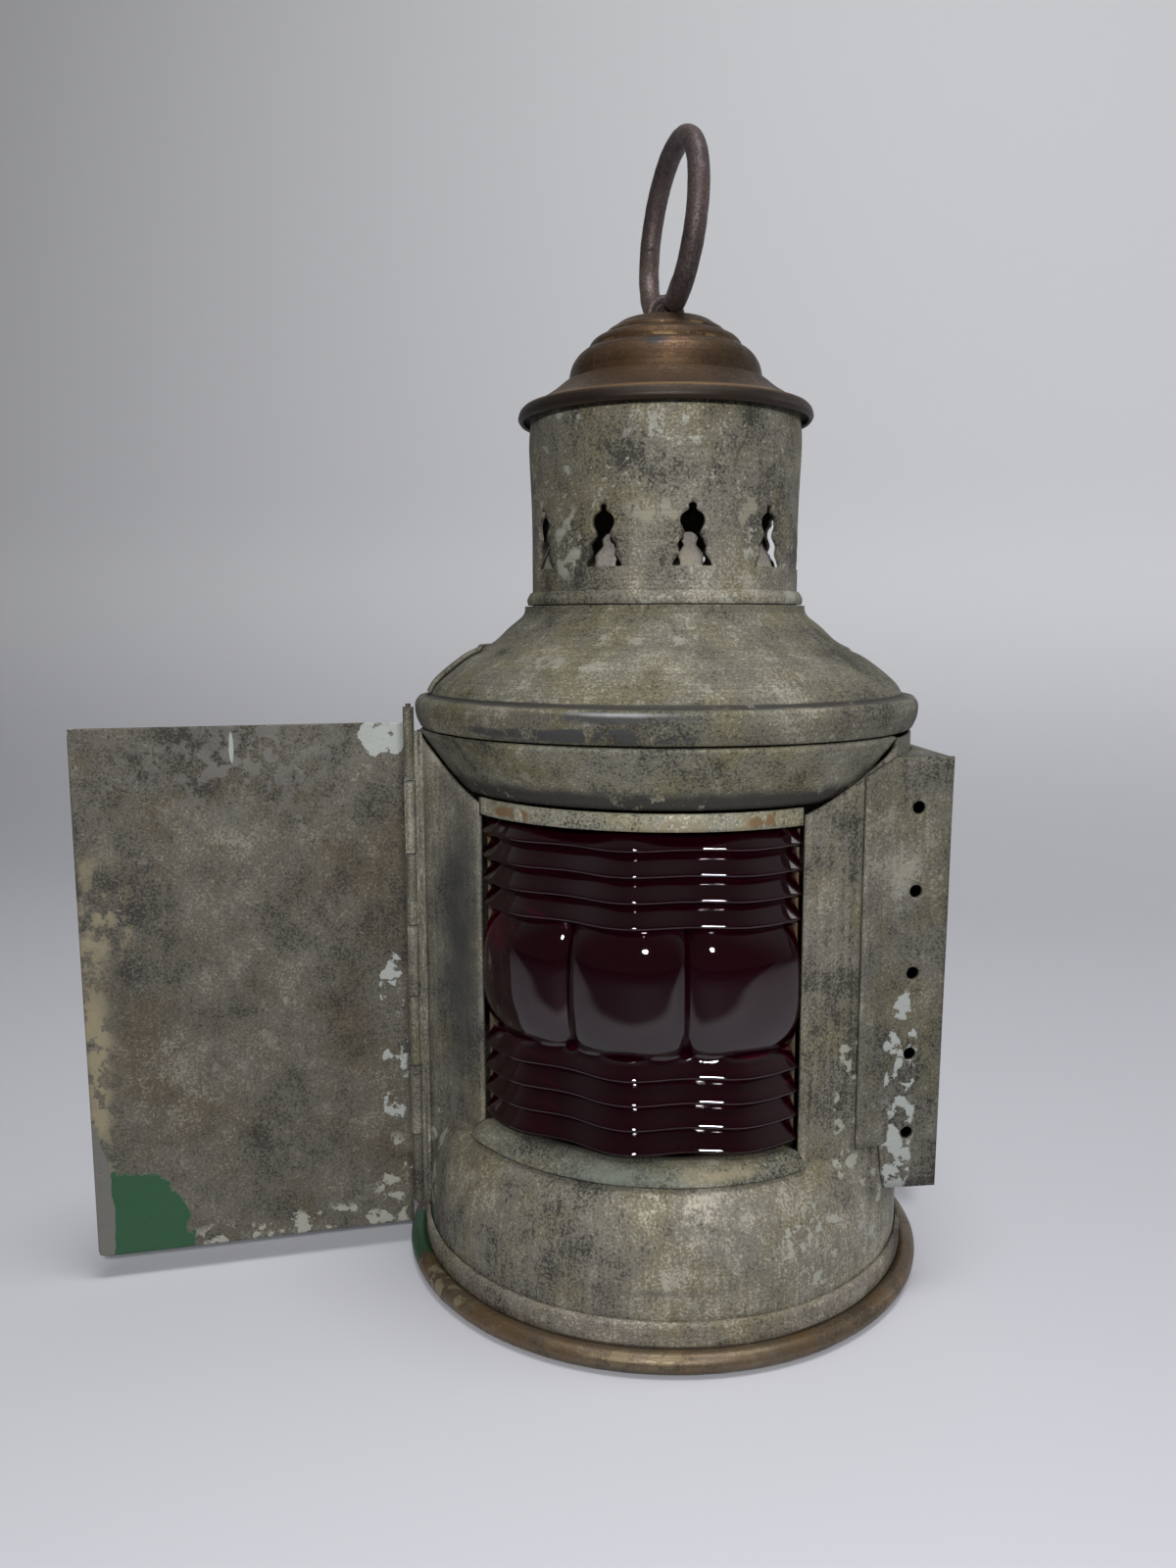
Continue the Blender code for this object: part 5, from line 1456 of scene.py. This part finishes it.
def dull_brass():
    tones = {"dark": 0.45, "light": 1.4, "metallic": 0.8, "speck": rgb(0.16, 0.22, 0.16)}
    wear = {"streaks": 0.2, "specks": 0.1, "bump": 0.25, "smoother": 0.2}
    return metal("dull_brass", (0.3, 0.2, 0.09), shift=2.3, **tones, **wear)


def dull_tin():
    wear = {"specks": 0.2, "bump": 0.25, "smoother": 0.15}
    return metal("dull_tin", (0.24, 0.235, 0.215), dark=0.5, light=1.3, metallic=0.6, shift=2.5, **wear)


cap_metal = brown_cap()
iron = rusty_iron()
inner_brass = dull_brass()
inner_tin = dull_tin()
print("cap, ring and lamp finishes:", len(bpy.data.materials), "materials so far")

# %% [markdown]
# ## Ruby glass and wick
# The glass keeps a plain shader: a deep ruby colour, hardly any roughness and a little less than full
# transmission, because old soot and dust scatter some of the light. In the dark lamp it looks almost
# black, and the rings show by their highlights. The wick is cotton, cream below and charred at the
# top, so its colour follows height.

# %% Glass and cotton
CHAR_FROM = 53.0


def ruby_glass():
    material, _, shader = new_material("ruby_glass")
    shader.inputs["Base Color"].default_value = rgb(0.055, 0.0005, 0.011)
    shader.inputs["Roughness"].default_value = 0.03
    shader.inputs["IOR"].default_value = 1.6
    shader.inputs["Transmission Weight"].default_value = 0.86
    return material


def woven_cotton():
    material, tree, shader = new_material("woven_cotton")
    spot = place_of(tree)
    thread = cloud(tree, spot, 1500.0, 3.0)
    cream = blend(tree, fade(tree, thread, 0.35, 0.65), rgb(0.34, 0.28, 0.19), rgb(0.56, 0.5, 0.38))
    ragged = calc(tree, "MULTIPLY", thread, 3.0 * MM)
    height = calc(tree, "ADD", parts_of(tree, spot)[2], ragged)
    burnt = fade(tree, height, CHAR_FROM * MM, WICK["high"] * MM)
    feed(tree, shader.inputs["Base Color"], blend(tree, burnt, cream, rgb(0.012, 0.01, 0.009)))
    shader.inputs["Roughness"].default_value = 0.95
    return material


ruby = ruby_glass()
cotton = woven_cotton()
print("made:", ruby.name, "and", cotton.name)

# %% [markdown]
# ## Dressing the pieces
# New pieces take one finish each. Solids of the frame that are good enough as they are stay in place
# and take a finish in their own slots: the burner and font inside, the keeper, the ring's eye, the
# draught box, and the hinge leaf with its pin.

# %% Finishes onto pieces
FINISHES = [
    (body_metal, [body_skin, back_seam, knuckles, fillet]),
    (hood_metal, [hood_skin, mended]),
    (drum_metal, [drum, collar]),
    (tongue_metal, [tongues]),
    (visor_metal, [visor_piece]),
    (screen_metal, [screen_sheet]),
    (face_metal, [pierced_face]),
    (band_metal, [top_band]),
    (sill_metal, [sill_piece]),
    (hoop_metal, [foot_band]),
    (bead_metal, [base_bead] + strips),
    (cap_metal, [spun_cap]),
    (iron, [forged_ring]),
    (ruby, [ruby_lens]),
    (cotton, [woven_wick]),
]
LAMP = ["font_tank", "font_filler_cap", "burner_body", "burner_crown", "burner_cone"]
WICK_DRIVE = ["wick_tube", "wick_shaft", "wick_knob"]
KEPT = [
    (inner_brass, LAMP + WICK_DRIVE),
    (inner_tin, ["base_keeper"]),
    (iron, ["ring_eye", "hinge_pin"]),
    (box_metal, ["draught_box", "hinge_leaf"]),
]
for finish, items in FINISHES:
    for item in items:
        item.data.materials.append(finish)
for finish, names in KEPT:
    for name in names:
        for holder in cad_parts[name].material_slots:
            holder.material = finish
dressed = sum(len(items) for _, items in FINISHES)
kept = sum(len(names) for _, names in KEPT)
print("pieces dressed:", dressed, "solids kept:", kept)

# %% [markdown]
# ## Stage
# The lantern stands on a pale floor that curves up into a backdrop. Floor and backdrop are one mesh,
# because a seam between two would show as a line. In front of the picture the floor is dark, so that
# the lens mirrors little of it.

# %% Stage
FLOOR = -0.0002
FLOOR_FRONT = -1.6
SWEEP_START = 0.35
SWEEP_RADIUS = 0.25
WALL_TOP = 2.2
STAGE_HALF = 9.0


def make_floor():
    """A floor that sweeps up into a wall behind, in metres."""
    build = bmesh.new()
    sweep = [(FLOOR_FRONT, FLOOR), (SWEEP_START, FLOOR)]
    for turn in between(0.1, math.pi / 2, 12):
        rise = SWEEP_RADIUS * (1.0 - math.cos(turn))
        sweep.append((SWEEP_START + SWEEP_RADIUS * math.sin(turn), FLOOR + rise))
    sweep.append((SWEEP_START + SWEEP_RADIUS, WALL_TOP))
    weave(build, [[Vector((x, y, z)) for y, z in reversed(sweep)] for x in (-STAGE_HALF, STAGE_HALF)])
    mesh = mesh_from(build, "floor")
    mesh.shade_smooth()
    return added("floor", mesh)


def pale_floor():
    """Pale, a little lighter up the wall, and dark in front of the picture."""
    material, tree, shader = new_material("pale_floor")
    x, y, z = parts_of(tree, place_of(tree))
    aside = calc(tree, "MULTIPLY", calc(tree, "ABSOLUTE", x, 0.0), 0.2)
    near = fade(tree, calc(tree, "ADD", y, aside), -0.19, -0.13)
    up_wall = fade(tree, z, 0.0, 0.2)
    pale = blend(tree, up_wall, rgb(0.52, 0.525, 0.565), rgb(0.87, 0.875, 0.9))
    feed(tree, shader.inputs["Base Color"], blend(tree, near, rgb(0.07, 0.07, 0.075), pale))
    shader.inputs["Roughness"].default_value = 0.8
    return material


floor = make_floor()
floor.data.materials.append(pale_floor())
print("floor:", len(floor.data.polygons), "faces")

# %% [markdown]
# ## Light
# A soft lamp overhead gives most of the light, a weak one fills the right side, and a small one near
# the camera draws the bright dots and lines on the glass. The world is bright above and behind and
# grows dim towards the front, like a room behind the camera. A picture of a real room could light it
# too, but lamps can be set one highlight at a time.

# %% Light
def softbox(name, place, target, size, power):
    """An area lamp. It lights the glass, but is not itself seen through it."""
    data = bpy.data.lights.new(name, "AREA")
    data.shape = "ELLIPSE"
    data.size, data.size_y = size
    data.energy = power
    item = added(name, data)
    item.location = place
    item.visible_transmission = False
    item.rotation_euler = (Vector(target) - Vector(place)).to_track_quat("-Z", "Y").to_euler()


def make_world():
    """Light from all round, brightest above and behind."""
    world = bpy.data.worlds.new("room_light")
    world.use_nodes = True
    tree = world.node_tree
    _, y, z = parts_of(tree, tree.nodes.new("ShaderNodeTexCoord").outputs["Generated"])
    bright = fade(tree, calc(tree, "ADD", y, calc(tree, "MULTIPLY", z, 0.7)), -0.4, 0.6)
    sky = tree.nodes["Background"]
    feed(tree, sky.inputs["Color"], blend(tree, bright, rgb(0.2, 0.2, 0.2), rgb(1.0, 1.0, 1.0)))
    sky.inputs["Strength"].default_value = 0.27
    return world


bpy.context.scene.world = make_world()
lamp_target = (0.0, 0.0, 0.11)
softbox("overhead", (0.1, -0.15, 1.05), lamp_target, (0.5, 0.35), 5.6)
softbox("front", (0.08, -0.38, 0.24), lamp_target, (0.035, 0.035), 1.25)
softbox("side", (0.75, 0.25, 0.35), lamp_target, (0.3, 0.5), 0.9)
print("lights:", [lamp.name for lamp in bpy.data.lights])

# %% [markdown]
# ## Camera
# The camera was found by laying the model over the photograph until the base ring, the upright
# edges and the level rings met. Its place is in millimetres and its angles are in radians. The whole
# is then turned a few degrees about the lantern's axis, so that the lens looks along -Y.

# %% Camera
STAND = (10.48, -275.74, 148.53)
YAW = 0.1018
PITCH = 0.1368
ROLL = -0.0023
VIEW_TURN = 7.6
SENSOR = 36.0
FOCAL = 27.045


def camera_matrix():
    """The place and the turn of the camera."""
    level = Vector((-math.sin(YAW), math.cos(YAW), 0.0))
    right = Vector((math.cos(YAW), math.sin(YAW), 0.0))
    ahead = level * math.cos(PITCH) - UP * math.sin(PITCH)
    above = UP * math.cos(PITCH) + level * math.sin(PITCH)
    rolled_right = right * math.cos(ROLL) + above * math.sin(ROLL)
    rolled_above = above * math.cos(ROLL) - right * math.sin(ROLL)
    facing = axes(rolled_right, rolled_above, -ahead)
    about_axis = Matrix.Rotation(math.radians(VIEW_TURN), 4, "Z")
    return about_axis @ Matrix.Translation(Vector(STAND) * MM) @ facing


camera_data = bpy.data.cameras.new("camera")
camera_data.sensor_width = SENSOR
camera_data.lens = FOCAL
camera = added("camera", camera_data)
camera.matrix_world = camera_matrix()
bpy.context.scene.camera = camera
bpy.context.scene.view_settings.view_transform = "Standard"
print("camera at", tuple(round(value, 3) for value in camera.location))
